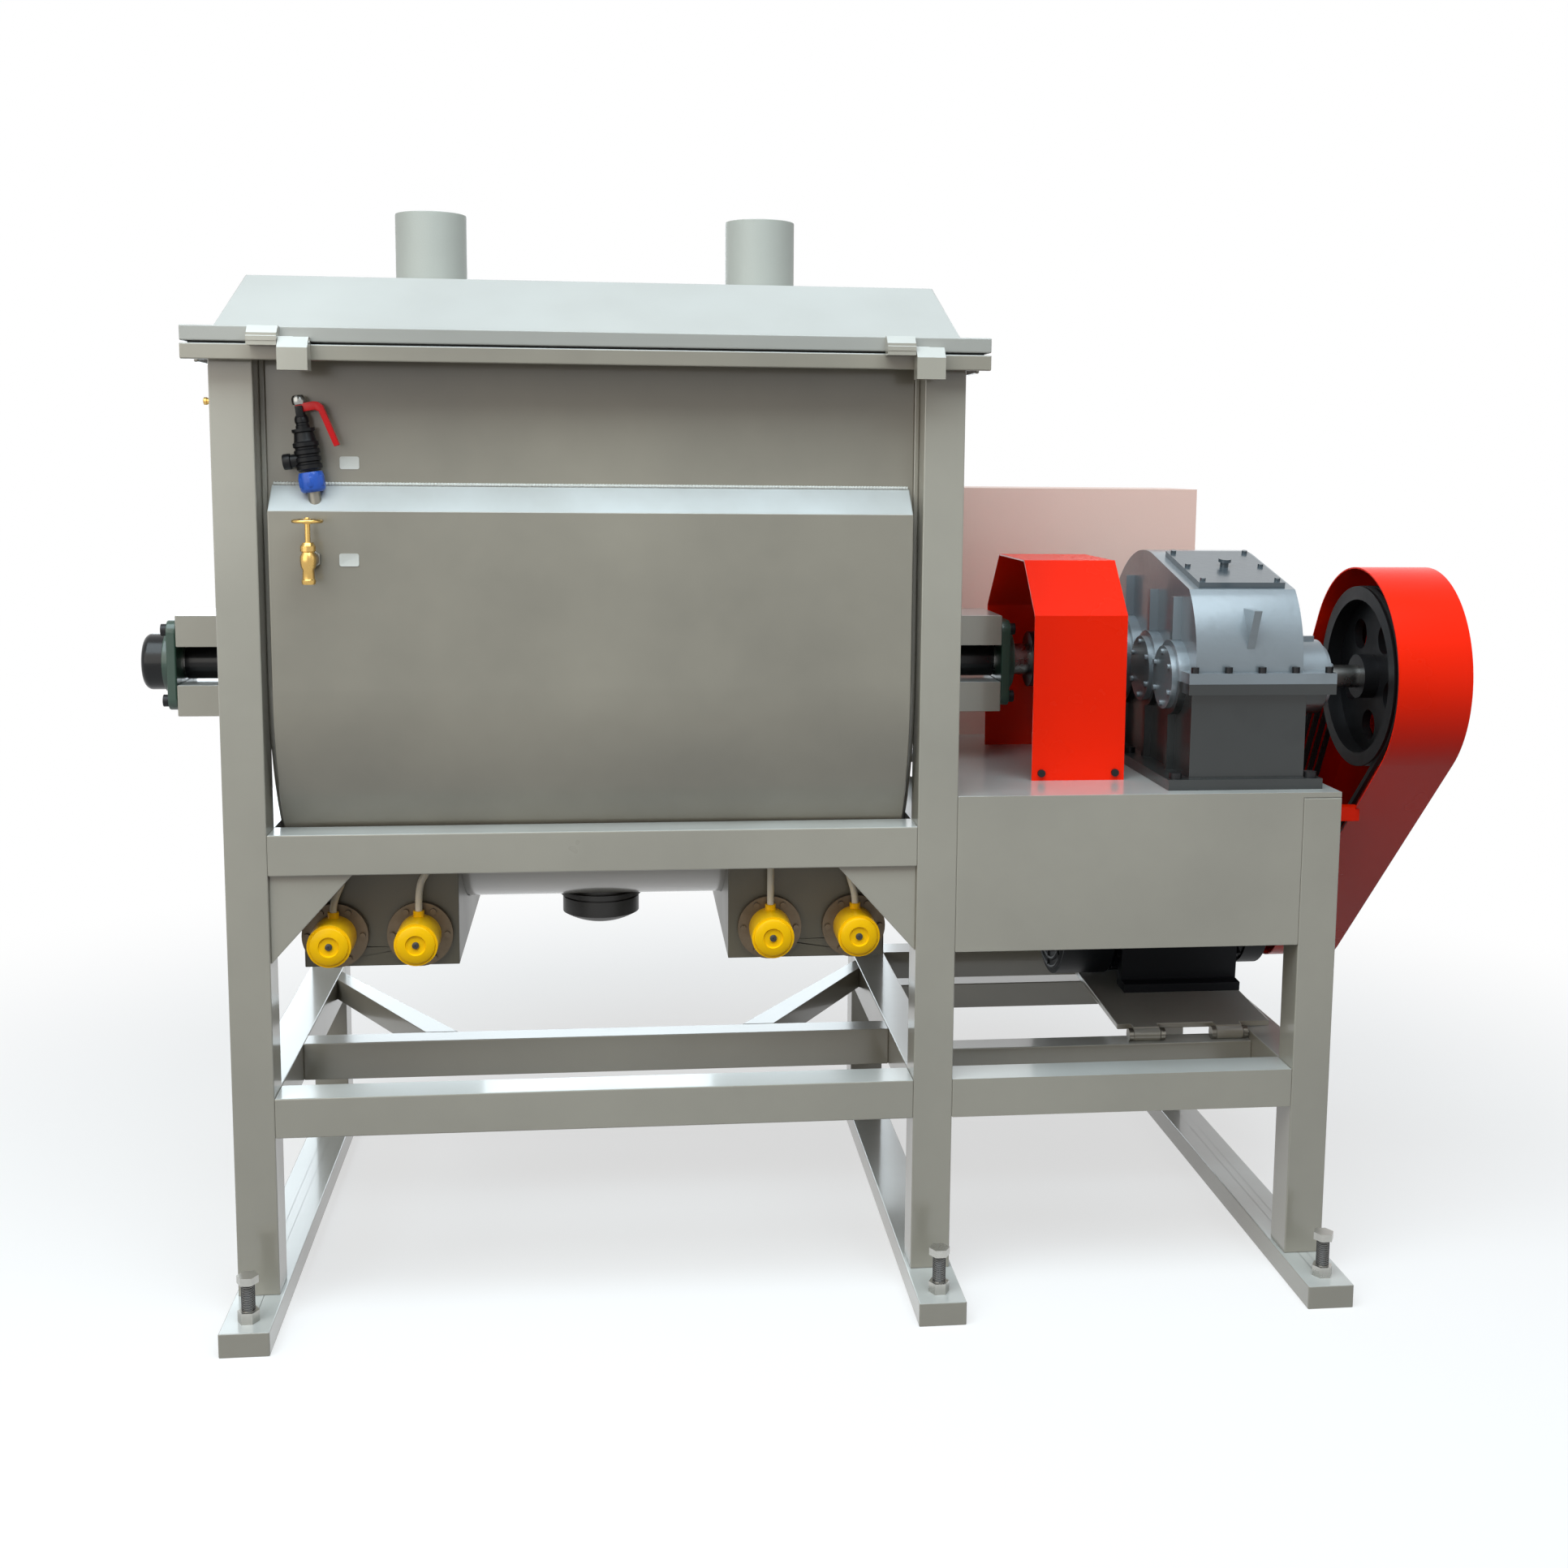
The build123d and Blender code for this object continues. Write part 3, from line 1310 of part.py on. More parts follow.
# Fixed hinge pins on the front rail, and jack screws on the rear rail
with BuildPart() as plate_supports:
    for x in knuckle_places:
        for side in (-1, 1):
            ear_x = x + side * (plate_knuckle / 2 + knuckle_gap + ear_thickness / 2)
            with Locations(along_x(ear_x, plate_hinge_y, plate_hinge_z)):
                Cylinder(plate_knuckle_radius, ear_thickness)
        with Locations(along_x(x, plate_hinge_y, plate_hinge_z)):
            Cylinder(plate_pin_radius, plate_knuckle + 2 * (knuckle_gap + ear_thickness))
    jack_y = rear_motor_rail_y
    jack_local = (jack_y - plate_hinge_y) / cos(tilt)
    jack_top = plate_hinge_z + jack_local * sin(tilt) + plate_lift * cos(tilt) - jack_gap
    for x in knuckle_places:
        with Locations((x, jack_y, (motor_rail_top + jack_top) / 2)):
            Cylinder(jack_radius, jack_top - motor_rail_top)
        with BuildSketch(Plane.XY.offset(motor_rail_top)):
            with Locations((x, jack_y)):
                RegularPolygon(2 * jack_radius, 6)
        extrude(amount=jack_radius)
save(plate_supports, "plate_supports")

# Motor: finned frame on feet, fan cover behind, end bell and terminal box
axis_local = plate_lift + plate_thickness + motor_shaft_height
motor_mid = (frame_left + frame_right) / 2
with BuildPart() as motor_frame:
    with Locations(along_x(motor_mid, foot_from_hinge, axis_local)):
        Cylinder(frame_radius - fin_height, frame_right - frame_left)
    for i in range(fin_count):
        turn = 360 * i / fin_count
        with Locations(Location((motor_mid, foot_from_hinge, axis_local), (turn, 0, 0))):
            with Locations((0, 0, frame_radius - fin_height)):
                Box(frame_right - frame_left - 2 * fin_inset, fin_thickness, 2 * fin_height)
    with Locations(along_x((frame_right + bell_right) / 2, foot_from_hinge, axis_local)):
        Cylinder(bell_radius, bell_right - frame_right)
    with Locations(along_x((fan_left + frame_left) / 2, foot_from_hinge, axis_local)):
        Cylinder(fan_radius, frame_left - fan_left)
    for side in (-1, 1):
        foot_y = foot_from_hinge + side * foot_spacing / 2
        with Locations((motor_mid, foot_y, plate_lift + plate_thickness + foot_block / 2)):
            Box(foot_length, foot_width, foot_block)
        with Locations((motor_mid, foot_y - side * foot_width / 4, axis_local - motor_shaft_height / 2)):
            Box(foot_length, foot_width / 2, motor_shaft_height)
    with Locations((motor_mid, foot_from_hinge, axis_local + frame_radius)):
        Box(terminal_length, terminal_width, terminal_height)
    bore_left = frame_left + bearing_pocket
    with Locations(along_x((bore_left - end_float + bell_right) / 2, foot_from_hinge, axis_local)):
        Cylinder(
            motor_shaft_radius + running_clearance, bell_right - bore_left + end_float, mode=Mode.SUBTRACT
        )
motor_frame.part.location = tilted
save(motor_frame, "motor_frame")

# Motor shaft
with BuildPart() as motor_shaft:
    with Locations(along_x((bore_left + pulley_right) / 2, motor_y, motor_z)):
        Cylinder(motor_shaft_radius, pulley_right - bore_left)
save(motor_shaft, "motor_shaft")

# Bolts of the bearing flanges, the reducer and the coupling guard
with BuildPart() as drive_bolts:
    for face, direction in bearing_faces:
        for y in (-bearing_bolt_pitch / 2, bearing_bolt_pitch / 2):
            for z in (-bearing_bolt_pitch / 2, bearing_bolt_pitch / 2):
                shank_x = face + direction * bearing_flange / 2
                with Locations(along_x(shank_x, y, shaft_height + z)):
                    Cylinder(bearing_bolt_radius, bearing_flange + 2 * bearing_bolt_head)
                head_x = face + direction * (bearing_flange + bearing_bolt_head / 2)
                with Locations(along_x(head_x, y, shaft_height + z)):
                    Cylinder(1.6 * bearing_bolt_radius, bearing_bolt_head)
    split_bolt_pitch = (boss_right - boss_left - 2 * split_bolt_inset) / (split_bolts - 1)
    for x in [boss_left + split_bolt_inset + i * split_bolt_pitch for i in range(split_bolts)]:
        for y in (reducer_front + split_lip / 2, reducer_back - split_lip / 2):
            with Locations((x, y, split_top + bearing_bolt_head / 2)):
                Cylinder(bearing_bolt_radius, bearing_bolt_head)
    for x in (foot_left + foot_bolt_inset, foot_right - foot_bolt_inset):
        for y in (reducer_front + foot_bolt_inset, reducer_y, reducer_back - foot_bolt_inset):
            with Locations((x, y, platform_top + foot_height + bearing_bolt_head / 2)):
                Cylinder(1.6 * bearing_bolt_radius, bearing_bolt_head)
    coupling_guard_right = coupling_guard_left + coupling_guard_length
    guard_bolt_y = coupling_guard_line[0][0] - bolt_head_height / 2
    for x in (coupling_guard_left + foot_bolt_inset, coupling_guard_right - foot_bolt_inset):
        with Locations(Location((x, guard_bolt_y, platform_top + guard_bolt_height), (90, 0, 0))):
            Cylinder(bearing_bolt_radius, bolt_head_height)
save(drive_bolts, "drive_bolts")

# Heater chambers: open boxes under the jacket that share its oil
duct_left = tank_left + duct_inset_left
duct_right = tank_right - duct_inset_right
duct_front = frame_front + tube
duct_bottom = tank_beam_top - duct_below_beam
lead_y = duct_front + lead_inset
left_chamber = tank_left + chamber_left_inset
right_chamber = tank_right - chamber_right_inset - chamber_right_length
chamber_spans = (
    (left_chamber, left_chamber + chamber_left_length), (right_chamber, right_chamber + chamber_right_length),
)
chamber_front = duct_front + duct_depth + chamber_gap
chamber_bottom = shaft_height - jacket_outer - chamber_drop
heater_x = [left_chamber + x for x in left_heaters] + [right_chamber + x for x in right_heaters]
heater_z = chamber_bottom + heater_rise
chamber_depth = chamber_back - chamber_front
chamber_y = (chamber_back + chamber_front) / 2
with BuildPart() as heater_chambers:
    for left, right in chamber_spans:
        with Locations(((left + right) / 2, chamber_y, (chamber_bottom + shaft_height) / 2)):
            Box(right - left, chamber_depth, shaft_height - chamber_bottom)
        with Locations(((left + right) / 2, chamber_y, (chamber_bottom + shaft_height) / 2 + chamber_wall)):
            Box(
                right - left - 2 * chamber_wall, chamber_depth - 2 * chamber_wall,
                shaft_height - chamber_bottom, mode=Mode.SUBTRACT,
            )
    with Locations(along_x(tank_x, 0, shaft_height)):
        Cylinder(jacket_outer + weld_gap, 2 * tank_bay, mode=Mode.SUBTRACT)
    for x in heater_x:
        with Locations(Location((x, chamber_front, heater_z), (90, 0, 0))):
            Cylinder(heater_hole_radius, 4 * chamber_wall, mode=Mode.SUBTRACT)
save(heater_chambers, "heater_chambers")

# Immersion heaters: a bolted round flange with a pair of rods into the oil
flange_face = chamber_front - heater_flange
with BuildPart() as immersion_heaters:
    for x in heater_x:
        with Locations(Location((x, chamber_front - heater_flange / 2, heater_z), (90, 0, 0))):
            Cylinder(heater_flange_radius, heater_flange)
        with Locations(Location((x, flange_face - bolt_head_height / 2, heater_z), (90, 0, 0))):
            with PolarLocations(heater_bolt_circle, heater_bolts):
                Cylinder(cover_bolt_radius, bolt_head_height)
        with Locations((x, chamber_front + heater_reach / 2, heater_z)):
            with GridLocations(heater_rod_spacing, 1, 2, 1):
                Box(2 * heater_rod_radius, heater_reach, 2 * heater_rod_radius)
        with Locations((x, chamber_front + heater_reach, heater_z)):
            Box(heater_rod_spacing + 2 * heater_rod_radius, 2 * heater_rod_radius, 2 * heater_rod_radius)
save(immersion_heaters, "immersion_heaters")

# Heater caps: round terminal caps with a cable gland on top
gland_top = heater_z + heater_cap_radius + heater_gland_height
with BuildPart() as heater_caps:
    for x in heater_x:
        with Locations(Location((x, flange_face - heater_cap_length / 2, heater_z), (90, 0, 0))):
            Cylinder(heater_cap_radius, heater_cap_length)
        with Locations((x, lead_y, gland_top - heater_cap_radius / 2)):
            Cylinder(heater_gland_radius, heater_cap_radius)
save(heater_caps, "heater_caps")

# Wiring duct behind the front beam
with BuildPart() as wiring_duct:
    with Locations(((duct_left + duct_right) / 2, duct_front + duct_depth / 2, duct_bottom + duct_height / 2)):
        Box(duct_right - duct_left, duct_depth, duct_height)
save(wiring_duct, "wiring_duct")


def make_lead(x, drift, low, high, bend):
    """One heater lead: up from the gland, across by the drift, and up into the duct."""
    foot, head = gland_top + lead_gap, duct_bottom - lead_gap
    rise = duct_bottom - gland_top
    if drift:
        path = FilletPolyline(
            (x, lead_y, foot), (x, lead_y, gland_top + low * rise),
            (x + drift, lead_y, gland_top + high * rise), (x + drift, lead_y, head),
            radius=min(bend, lead_bend_limit * rise), mode=Mode.PRIVATE,
        )
    else:
        path = Line((x, lead_y, foot), (x, lead_y, head), mode=Mode.PRIVATE)
    section = Plane(origin=(x, lead_y, foot)) * Circle(lead_radius, mode=Mode.PRIVATE)
    with BuildPart() as lead:
        sweep(section, path=path)
    return lead


# Heater leads
for number, (x, drift, low, high) in enumerate(zip(heater_x, lead_drift, lead_low, lead_high), 1):
    lead = make_lead(x, drift, low, high, lead_bend)
    save(lead, f"heater_lead_{number}")

# Relief valve on the jacket ledge, built upright and then leaned to the left
relief_x = tank_left + relief_inset
relief_y = -trough_outer - relief_stand
relief_slope = ledge_drop / (jacket_outer - trough_outer)
relief_z = ledge_top - relief_slope * (-relief_y - trough_outer)
relief_place = Location((relief_x, relief_y, relief_z), (0, -relief_lean, 0))
relief_body_top = relief_nipple + relief_base_height + relief_body_height
relief_pin_z = relief_body_top + relief_cap_height + relief_ear / 2
ledge_cut = Face(
    Wire.make_polygon(
        [
            (relief_x - tube, -trough_outer, ledge_top + weld_gap),
            (relief_x - tube, -jacket_outer - weld_gap, ledge_top - ledge_drop),
            (relief_x - tube, -jacket_outer - weld_gap, shaft_height),
            (relief_x - tube, -trough_outer, shaft_height),
        ]
    )
)
with BuildPart() as relief_base:
    with Locations(relief_place):
        with Locations((0, 0, relief_nipple / 2 - relief_nipple_radius)):
            Cylinder(relief_nipple_radius, relief_nipple + 2 * relief_nipple_radius)
        with Locations((0, 0, relief_nipple + relief_base_height / 2)):
            Cylinder(relief_base_radius, relief_base_height)
    extrude(ledge_cut, amount=2 * tube, dir=(1, 0, 0), mode=Mode.SUBTRACT)
save(relief_base, "relief_base")

with BuildPart() as relief_valve:
    with Locations(relief_place):
        with Locations((0, 0, relief_body_top - relief_body_height / 2)):
            Cylinder(relief_body_radius, relief_body_height)
        outlet_z = relief_body_top - relief_body_height + 1.5 * relief_outlet_radius
        with Locations(Location((-relief_outlet_reach / 2, 0, outlet_z), (0, 90, 0))):
            Cylinder(relief_outlet_radius, relief_outlet_reach)
        with Locations((0, 0, relief_body_top + relief_cap_height / 2)):
            Cylinder(relief_cap_radius, relief_cap_height)
        for side in (-1, 1):
            with Locations((0, side * (relief_cap_radius - relief_strap / 2), relief_pin_z - relief_ear / 4)):
                Box(relief_ear, relief_strap, 1.5 * relief_ear)
        with Locations(Location((0, 0, relief_pin_z), (90, 0, 0))):
            Cylinder(relief_pin_radius, 2 * relief_cap_radius)
save(relief_valve, "relief_valve")

# Relief lever: a bent strap on the pin, over the top and down the right side
lever_width = 2 * (relief_cap_radius - relief_strap - knuckle_gap)
lever_out = relief_body_radius + lever_stand_off
with BuildPart() as relief_lever:
    with Locations(relief_place):
        with Locations(Location((0, 0, relief_pin_z), (90, 0, 0))):
            Cylinder(relief_ear / 2, lever_width)
        with Locations((lever_out / 2, 0, relief_pin_z + relief_ear / 2 - relief_strap / 2)):
            Box(lever_out, lever_width, relief_strap)
        with Locations((lever_out, 0, relief_pin_z + relief_ear / 2 - lever_drop / 2)):
            Box(relief_strap, lever_width, lever_drop)
        with Locations(Location((0, 0, relief_pin_z), (90, 0, 0))):
            Cylinder(relief_pin_radius + running_clearance, 2 * lever_width, mode=Mode.SUBTRACT)
save(relief_lever, "relief_lever")

# Sampling tap on the jacket's front face
tap_x = tank_left + tap_inset
tap_y = -jacket_outer - tap_reach
tap_z = shaft_height + tap_rise
tap_spout_z = tap_z - tap_spout_drop
tap_wheel_z = tap_z + tap_wheel_rise
with BuildPart() as tap_body:
    with Locations(Location((tap_x, -(jacket_outer - tap_y) / 2, tap_z), (90, 0, 0))):
        Cylinder(tap_pipe_radius, -tap_y - jacket_outer)
    with BuildSketch(Plane.XZ.offset(jacket_outer)):
        with Locations((tap_x, tap_z)):
            RegularPolygon(tap_nut_radius, 6)
    extrude(amount=tap_nut)
    with Locations((tap_x, tap_y, tap_z + tap_body_height / 4)):
        Cylinder(tap_body_radius, tap_body_height)
    with Locations((tap_x, tap_y, (tap_z + tap_spout_z) / 2)):
        Cylinder(tap_pipe_radius, tap_z - tap_spout_z)
    with Locations((tap_x, tap_y, tap_spout_z + tap_pipe_radius / 2)):
        Cylinder(tap_body_radius, tap_pipe_radius)
    tap_top = tap_z + 0.75 * tap_body_height
    with Locations((tap_x, tap_y, tap_top - tap_stem_depth / 2)):
        Cylinder(tap_stem_radius + running_clearance, tap_stem_depth, mode=Mode.SUBTRACT)
save(tap_body, "tap_body")

# Tap handwheel on its stem
with BuildPart() as tap_handwheel:
    stem_foot = tap_top - tap_stem_depth + end_float
    with Locations((tap_x, tap_y, tap_wheel_z)):
        Cylinder(tap_wheel_radius, tap_wheel_height)
        Cylinder(tap_wheel_radius - tap_wheel_rim, 2 * tap_wheel_height, mode=Mode.SUBTRACT)
        Cylinder(2 * tap_stem_radius, tap_wheel_height)
        Box(2 * tap_wheel_radius - tap_wheel_rim, tap_stem_radius, tap_wheel_height / 2)
        Box(tap_stem_radius, 2 * tap_wheel_radius - tap_wheel_rim, tap_wheel_height / 2)
    with Locations((tap_x, tap_y, (stem_foot + tap_wheel_z) / 2)):
        Cylinder(tap_stem_radius, tap_wheel_z - stem_foot)
save(tap_handwheel, "tap_handwheel")

# Cabinet: a sheet box on the platform, open at the back, with a hinged door there
cabinet_front = reducer_back + cabinet_gap
cabinet_back = cabinet_front + cabinet_depth
cabinet_mid = (cabinet_left + cabinet_right) / 2
door_hinge_z = [platform_top + height for height in door_hinge_heights]
cabinet_z = platform_top + cabinet_height / 2
door_hinge_x = cabinet_right + door_hinge_offset
door_front = cabinet_back + door_gap
door_hinge_y = door_front + door_depth / 2
with BuildPart() as cabinet_body:
    with Locations((cabinet_mid, (cabinet_front + cabinet_back) / 2, cabinet_z)):
        Box(cabinet_right - cabinet_left, cabinet_back - cabinet_front, cabinet_height)
    with Locations((cabinet_mid, (cabinet_front + cabinet_back) / 2 + cabinet_sheet, cabinet_z)):
        Box(
            cabinet_right - cabinet_left - 2 * cabinet_sheet, cabinet_back - cabinet_front,
            cabinet_height - 2 * cabinet_sheet, mode=Mode.SUBTRACT,
        )
    for z in door_hinge_z:
        for side in (-1, 1):
            ear_z = z + side * (door_knuckle + door_ear + 2 * knuckle_gap) / 2
            with Locations((door_hinge_x, door_hinge_y, ear_z)):
                Cylinder(door_knuckle_radius, door_ear)
            with Locations(((cabinet_right + door_hinge_x + door_knuckle_radius) / 2, door_hinge_y - door_arm / 2, ear_z)):
                Box(door_hinge_x + door_knuckle_radius - cabinet_right, door_arm, door_ear)
        with Locations((door_hinge_x, door_hinge_y, z)):
            Cylinder(door_pin_radius, door_knuckle + 2 * (door_ear + knuckle_gap))
save(cabinet_body, "cabinet_body")

with BuildPart() as cabinet_door:
    door_width = cabinet_right - cabinet_left - 2 * door_gap
    with Locations((cabinet_mid, door_hinge_y, cabinet_z)):
        Box(door_width, door_depth, cabinet_height)
    with Locations((cabinet_mid, door_hinge_y - cabinet_sheet, cabinet_z)):
        Box(
            door_width - 2 * cabinet_sheet, door_depth, cabinet_height - 2 * cabinet_sheet,
            mode=Mode.SUBTRACT,
        )
    for z in door_hinge_z:
        with Locations((door_hinge_x, door_hinge_y, z)):
            Cylinder(door_knuckle_radius, door_knuckle)
        arm_left = cabinet_right - door_gap - cabinet_sheet
        with Locations(((arm_left + door_hinge_x) / 2, door_hinge_y, z)):
            Box(door_hinge_x - arm_left, door_knuckle_radius, door_knuckle)
        with Locations((door_hinge_x, door_hinge_y, z)):
            Cylinder(door_pin_radius + running_clearance, 2 * door_knuckle, mode=Mode.SUBTRACT)
    with Locations((cabinet_left + door_handle_inset, door_hinge_y + door_depth / 2 + door_handle / 2, cabinet_z)):
        Box(door_handle, door_handle, door_handle_length)
save(cabinet_door, "cabinet_door")
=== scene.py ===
"""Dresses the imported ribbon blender: paint, metal, rubber, small fittings, lamps and the camera."""
import json
from math import cos, pi, radians, sin

import bmesh
import bpy
from mathutils import Matrix, Vector


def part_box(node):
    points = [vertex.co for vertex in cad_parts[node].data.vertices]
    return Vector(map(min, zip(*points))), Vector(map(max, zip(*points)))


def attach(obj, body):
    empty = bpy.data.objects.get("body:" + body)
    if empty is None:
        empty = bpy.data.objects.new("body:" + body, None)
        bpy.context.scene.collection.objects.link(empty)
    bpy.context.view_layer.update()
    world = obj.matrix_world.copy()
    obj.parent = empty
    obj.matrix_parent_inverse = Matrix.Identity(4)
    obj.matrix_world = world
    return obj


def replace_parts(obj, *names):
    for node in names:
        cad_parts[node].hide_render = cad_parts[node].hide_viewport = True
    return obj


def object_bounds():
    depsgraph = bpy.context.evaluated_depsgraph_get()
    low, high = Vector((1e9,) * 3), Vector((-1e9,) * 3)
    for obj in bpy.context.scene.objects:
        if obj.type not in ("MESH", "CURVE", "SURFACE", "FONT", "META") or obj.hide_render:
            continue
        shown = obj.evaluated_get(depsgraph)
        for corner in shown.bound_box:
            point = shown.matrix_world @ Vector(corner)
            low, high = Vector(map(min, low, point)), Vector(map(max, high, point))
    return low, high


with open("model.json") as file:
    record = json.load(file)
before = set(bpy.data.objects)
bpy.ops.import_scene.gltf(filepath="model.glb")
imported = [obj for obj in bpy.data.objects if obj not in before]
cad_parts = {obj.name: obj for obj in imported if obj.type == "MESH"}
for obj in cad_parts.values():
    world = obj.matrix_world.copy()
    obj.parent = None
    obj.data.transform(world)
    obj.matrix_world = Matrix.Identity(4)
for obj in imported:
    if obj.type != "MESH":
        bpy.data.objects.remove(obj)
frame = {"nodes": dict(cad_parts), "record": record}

cad_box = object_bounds()
middle = Vector([(low + high) / 2 for low, high in zip(*cad_box)])
nodes = frame["nodes"]

# Camera, as fitted to the frame's corners in the photograph
camera_place = (-0.6385, -3.9951, 1.6952)
camera_turn = radians(-6.543)
camera_pitch = radians(-7.388)
camera_roll = radians(-0.550)
camera_lens = 41.548
camera_sensor = 36
camera_shift = (-0.02251, -0.05879)

# Lamps and background
sky_colour = (0.97, 0.97, 0.97, 1)
cool_light = (0.80, 0.93, 1.0)
warm_light = (1.0, 0.96, 0.88)
sky_strength = 0.20
top_lamp_power = 340
top_lamp_size = (6.0, 3.5)
front_lamp_power = 115
front_lamp_size = (5.5, 4.0)
side_lamp_power = 10
side_lamp_size = (2.5, 2.5)
back_lamp_power = 70
back_lamp_size = (4.0, 2.5)
floor_half = 14
floor_tone = (0.90, 0.90, 0.90, 1)  # what the camera sees lit
floor_bounce = (0.09, 0.085, 0.08, 1)  # what the floor throws back up
shadow_reach = (1.7, 3.6)  # from the middle: the shadow is whole, the floor is plain white
shadow_white = 0.62  # share of plain white near the object


def linear(red, green, blue):
    """A screen colour of 0 to 255 as the linear colour that a shader takes."""
    def channel(value):
        share = value / 255
        return share / 12.92 if share <= 0.04045 else ((share + 0.055) / 1.055) ** 2.4
    return (channel(red), channel(green), channel(blue), 1.0)


# Paint: how its clouds and smudges lie, and the painted skylight that lightens faces that look up
cloud_scale = 2.3
cloud_swell = 2.0  # the clouds' share of the bump, next to the orange peel
smudge_scale = 4.5
smudge_start = 0.55
smudge_on_gloss = 0.12
# Painted light: a pale bluish tone mixed into faces that look up, standing in for light falling from above
dust_tone = linear(208, 214, 216)
dust_slope = (0.35, 0.85)  # how far up a face looks before the painted skylight starts, and where it is whole
dust_least = 0.6
dust_patches = 0.8
coat_roughness = 0.12
relief_depth = 0.0006

# Bare metal: how its stains lie
stain_scale = 14.0
stain_on_gloss = 0.3
clean_metal = 1.08  # brightness of metal without a stain


# Shader node groups

def new_group(name, inputs, outputs):
    """An empty shader group with its sockets, and its input and output nodes."""
    group = bpy.data.node_groups.new(name, "ShaderNodeTree")
    for label, kind, value in inputs:
        socket = group.interface.new_socket(label, in_out="INPUT", socket_type=kind)
        socket.default_value = value
    for label, kind in outputs:
        group.interface.new_socket(label, in_out="OUTPUT", socket_type=kind)
    return group, group.nodes.new("NodeGroupInput"), group.nodes.new("NodeGroupOutput")


def add_node(tree, kind, **settings):
    """A node of a kind with the given attributes set."""
    node = tree.nodes.new(kind)
    for key, value in settings.items():
        setattr(node, key, value)
    return node


def add_noise(tree, vector, scale, detail, roughness=0.55):
    """A noise texture on a vector."""
    noise = add_node(tree, "ShaderNodeTexNoise")
    noise.inputs["Detail"].default_value = detail
    noise.inputs["Roughness"].default_value = roughness
    tree.links.new(vector, noise.inputs["Vector"])
    if isinstance(scale, (int, float)):
        noise.inputs["Scale"].default_value = scale
    else:
        tree.links.new(scale, noise.inputs["Scale"])
    return noise.outputs["Fac"]


def add_math(tree, operation, first, second):
    """A math node of two values or links."""
    node = add_node(tree, "ShaderNodeMath", operation=operation)
    for socket, value in zip(node.inputs, (first, second)):
        if isinstance(value, (int, float)):
            socket.default_value = value
        else:
            tree.links.new(value, socket)
    return node.outputs[0]


def add_mix(tree, amount, first, second):
    """A mix of two colours or links by an amount."""
    node = add_node(tree, "ShaderNodeMix", data_type="RGBA")
    for socket, value in ((node.inputs[0], amount), (node.inputs[6], first), (node.inputs[7], second)):
        if isinstance(value, (int, float, tuple)):
            socket.default_value = value
        else:
            tree.links.new(value, socket)
    return node.outputs[2]


def make_coat_group():
    """Sprayed paint: cloudy tone, smudges, orange peel, uneven gloss and a painted pale bluish skylight on faces
    that look up.
    """
    group, inside, outside = new_group(
        "sprayed_coat",
        [("Colour", "NodeSocketColor", (0.5, 0.5, 0.5, 1)), ("Cloud", "NodeSocketFloat", 0.08),
         ("Smudge", "NodeSocketFloat", 0.12), ("Gloss", "NodeSocketFloat", 0.4), ("Peel", "NodeSocketFloat", 160.0),
         ("Dust", "NodeSocketFloat", 0.0)],
        [("Colour", "NodeSocketColor"), ("Roughness", "NodeSocketFloat"), ("Height", "NodeSocketFloat")],
    )
    coordinates = add_node(group, "ShaderNodeTexCoord")
    place = coordinates.outputs["Object"]
    cloud = add_noise(group, place, cloud_scale, detail=4)
    smudge = add_noise(group, place, smudge_scale, detail=4, roughness=0.6)
    peel = add_noise(group, place, inside.outputs["Peel"], detail=2)
    tone = add_math(group, "MULTIPLY", add_math(group, "SUBTRACT", cloud, 0.5), inside.outputs["Cloud"])
    smeared = add_math(group, "MAXIMUM", add_math(group, "SUBTRACT", smudge, smudge_start), 0.0)
    mark = add_math(group, "MULTIPLY", smeared, inside.outputs["Smudge"])
    value = add_math(group, "ADD", add_math(group, "SUBTRACT", tone, mark), 1.0)
    shade = add_node(group, "ShaderNodeHueSaturation")
    group.links.new(inside.outputs["Colour"], shade.inputs["Color"])
    group.links.new(value, shade.inputs["Value"])
    # Painted light: faces that look up are mixed, in patches, towards the pale bluish tone that stands in for light
    # from above
    facing = add_node(group, "ShaderNodeSeparateXYZ")
    group.links.new(coordinates.outputs["Normal"], facing.inputs[0])
    upward = add_node(group, "ShaderNodeMapRange", interpolation_type="SMOOTHSTEP")
    group.links.new(facing.outputs["Z"], upward.inputs["Value"])
    upward.inputs["From Min"].default_value, upward.inputs["From Max"].default_value = dust_slope
    patchy = add_math(group, "ADD", add_math(group, "MULTIPLY", smudge, dust_patches), dust_least)
    painted_light_mask = add_math(group, "MULTIPLY", upward.outputs["Result"], patchy)
    painted_light_share = add_math(group, "MULTIPLY", painted_light_mask, inside.outputs["Dust"])
    dusted = add_mix(group, painted_light_share, shade.outputs["Color"], dust_tone)
    group.links.new(dusted, outside.inputs["Colour"])
    uneven = add_math(group, "MULTIPLY", add_math(group, "SUBTRACT", smudge, 0.5), smudge_on_gloss)
    group.links.new(add_math(group, "ADD", inside.outputs["Gloss"], uneven), outside.inputs["Roughness"])
    swell = add_math(group, "MULTIPLY", cloud, cloud_swell)
    group.links.new(add_math(group, "ADD", peel, swell), outside.inputs["Height"])
    return group


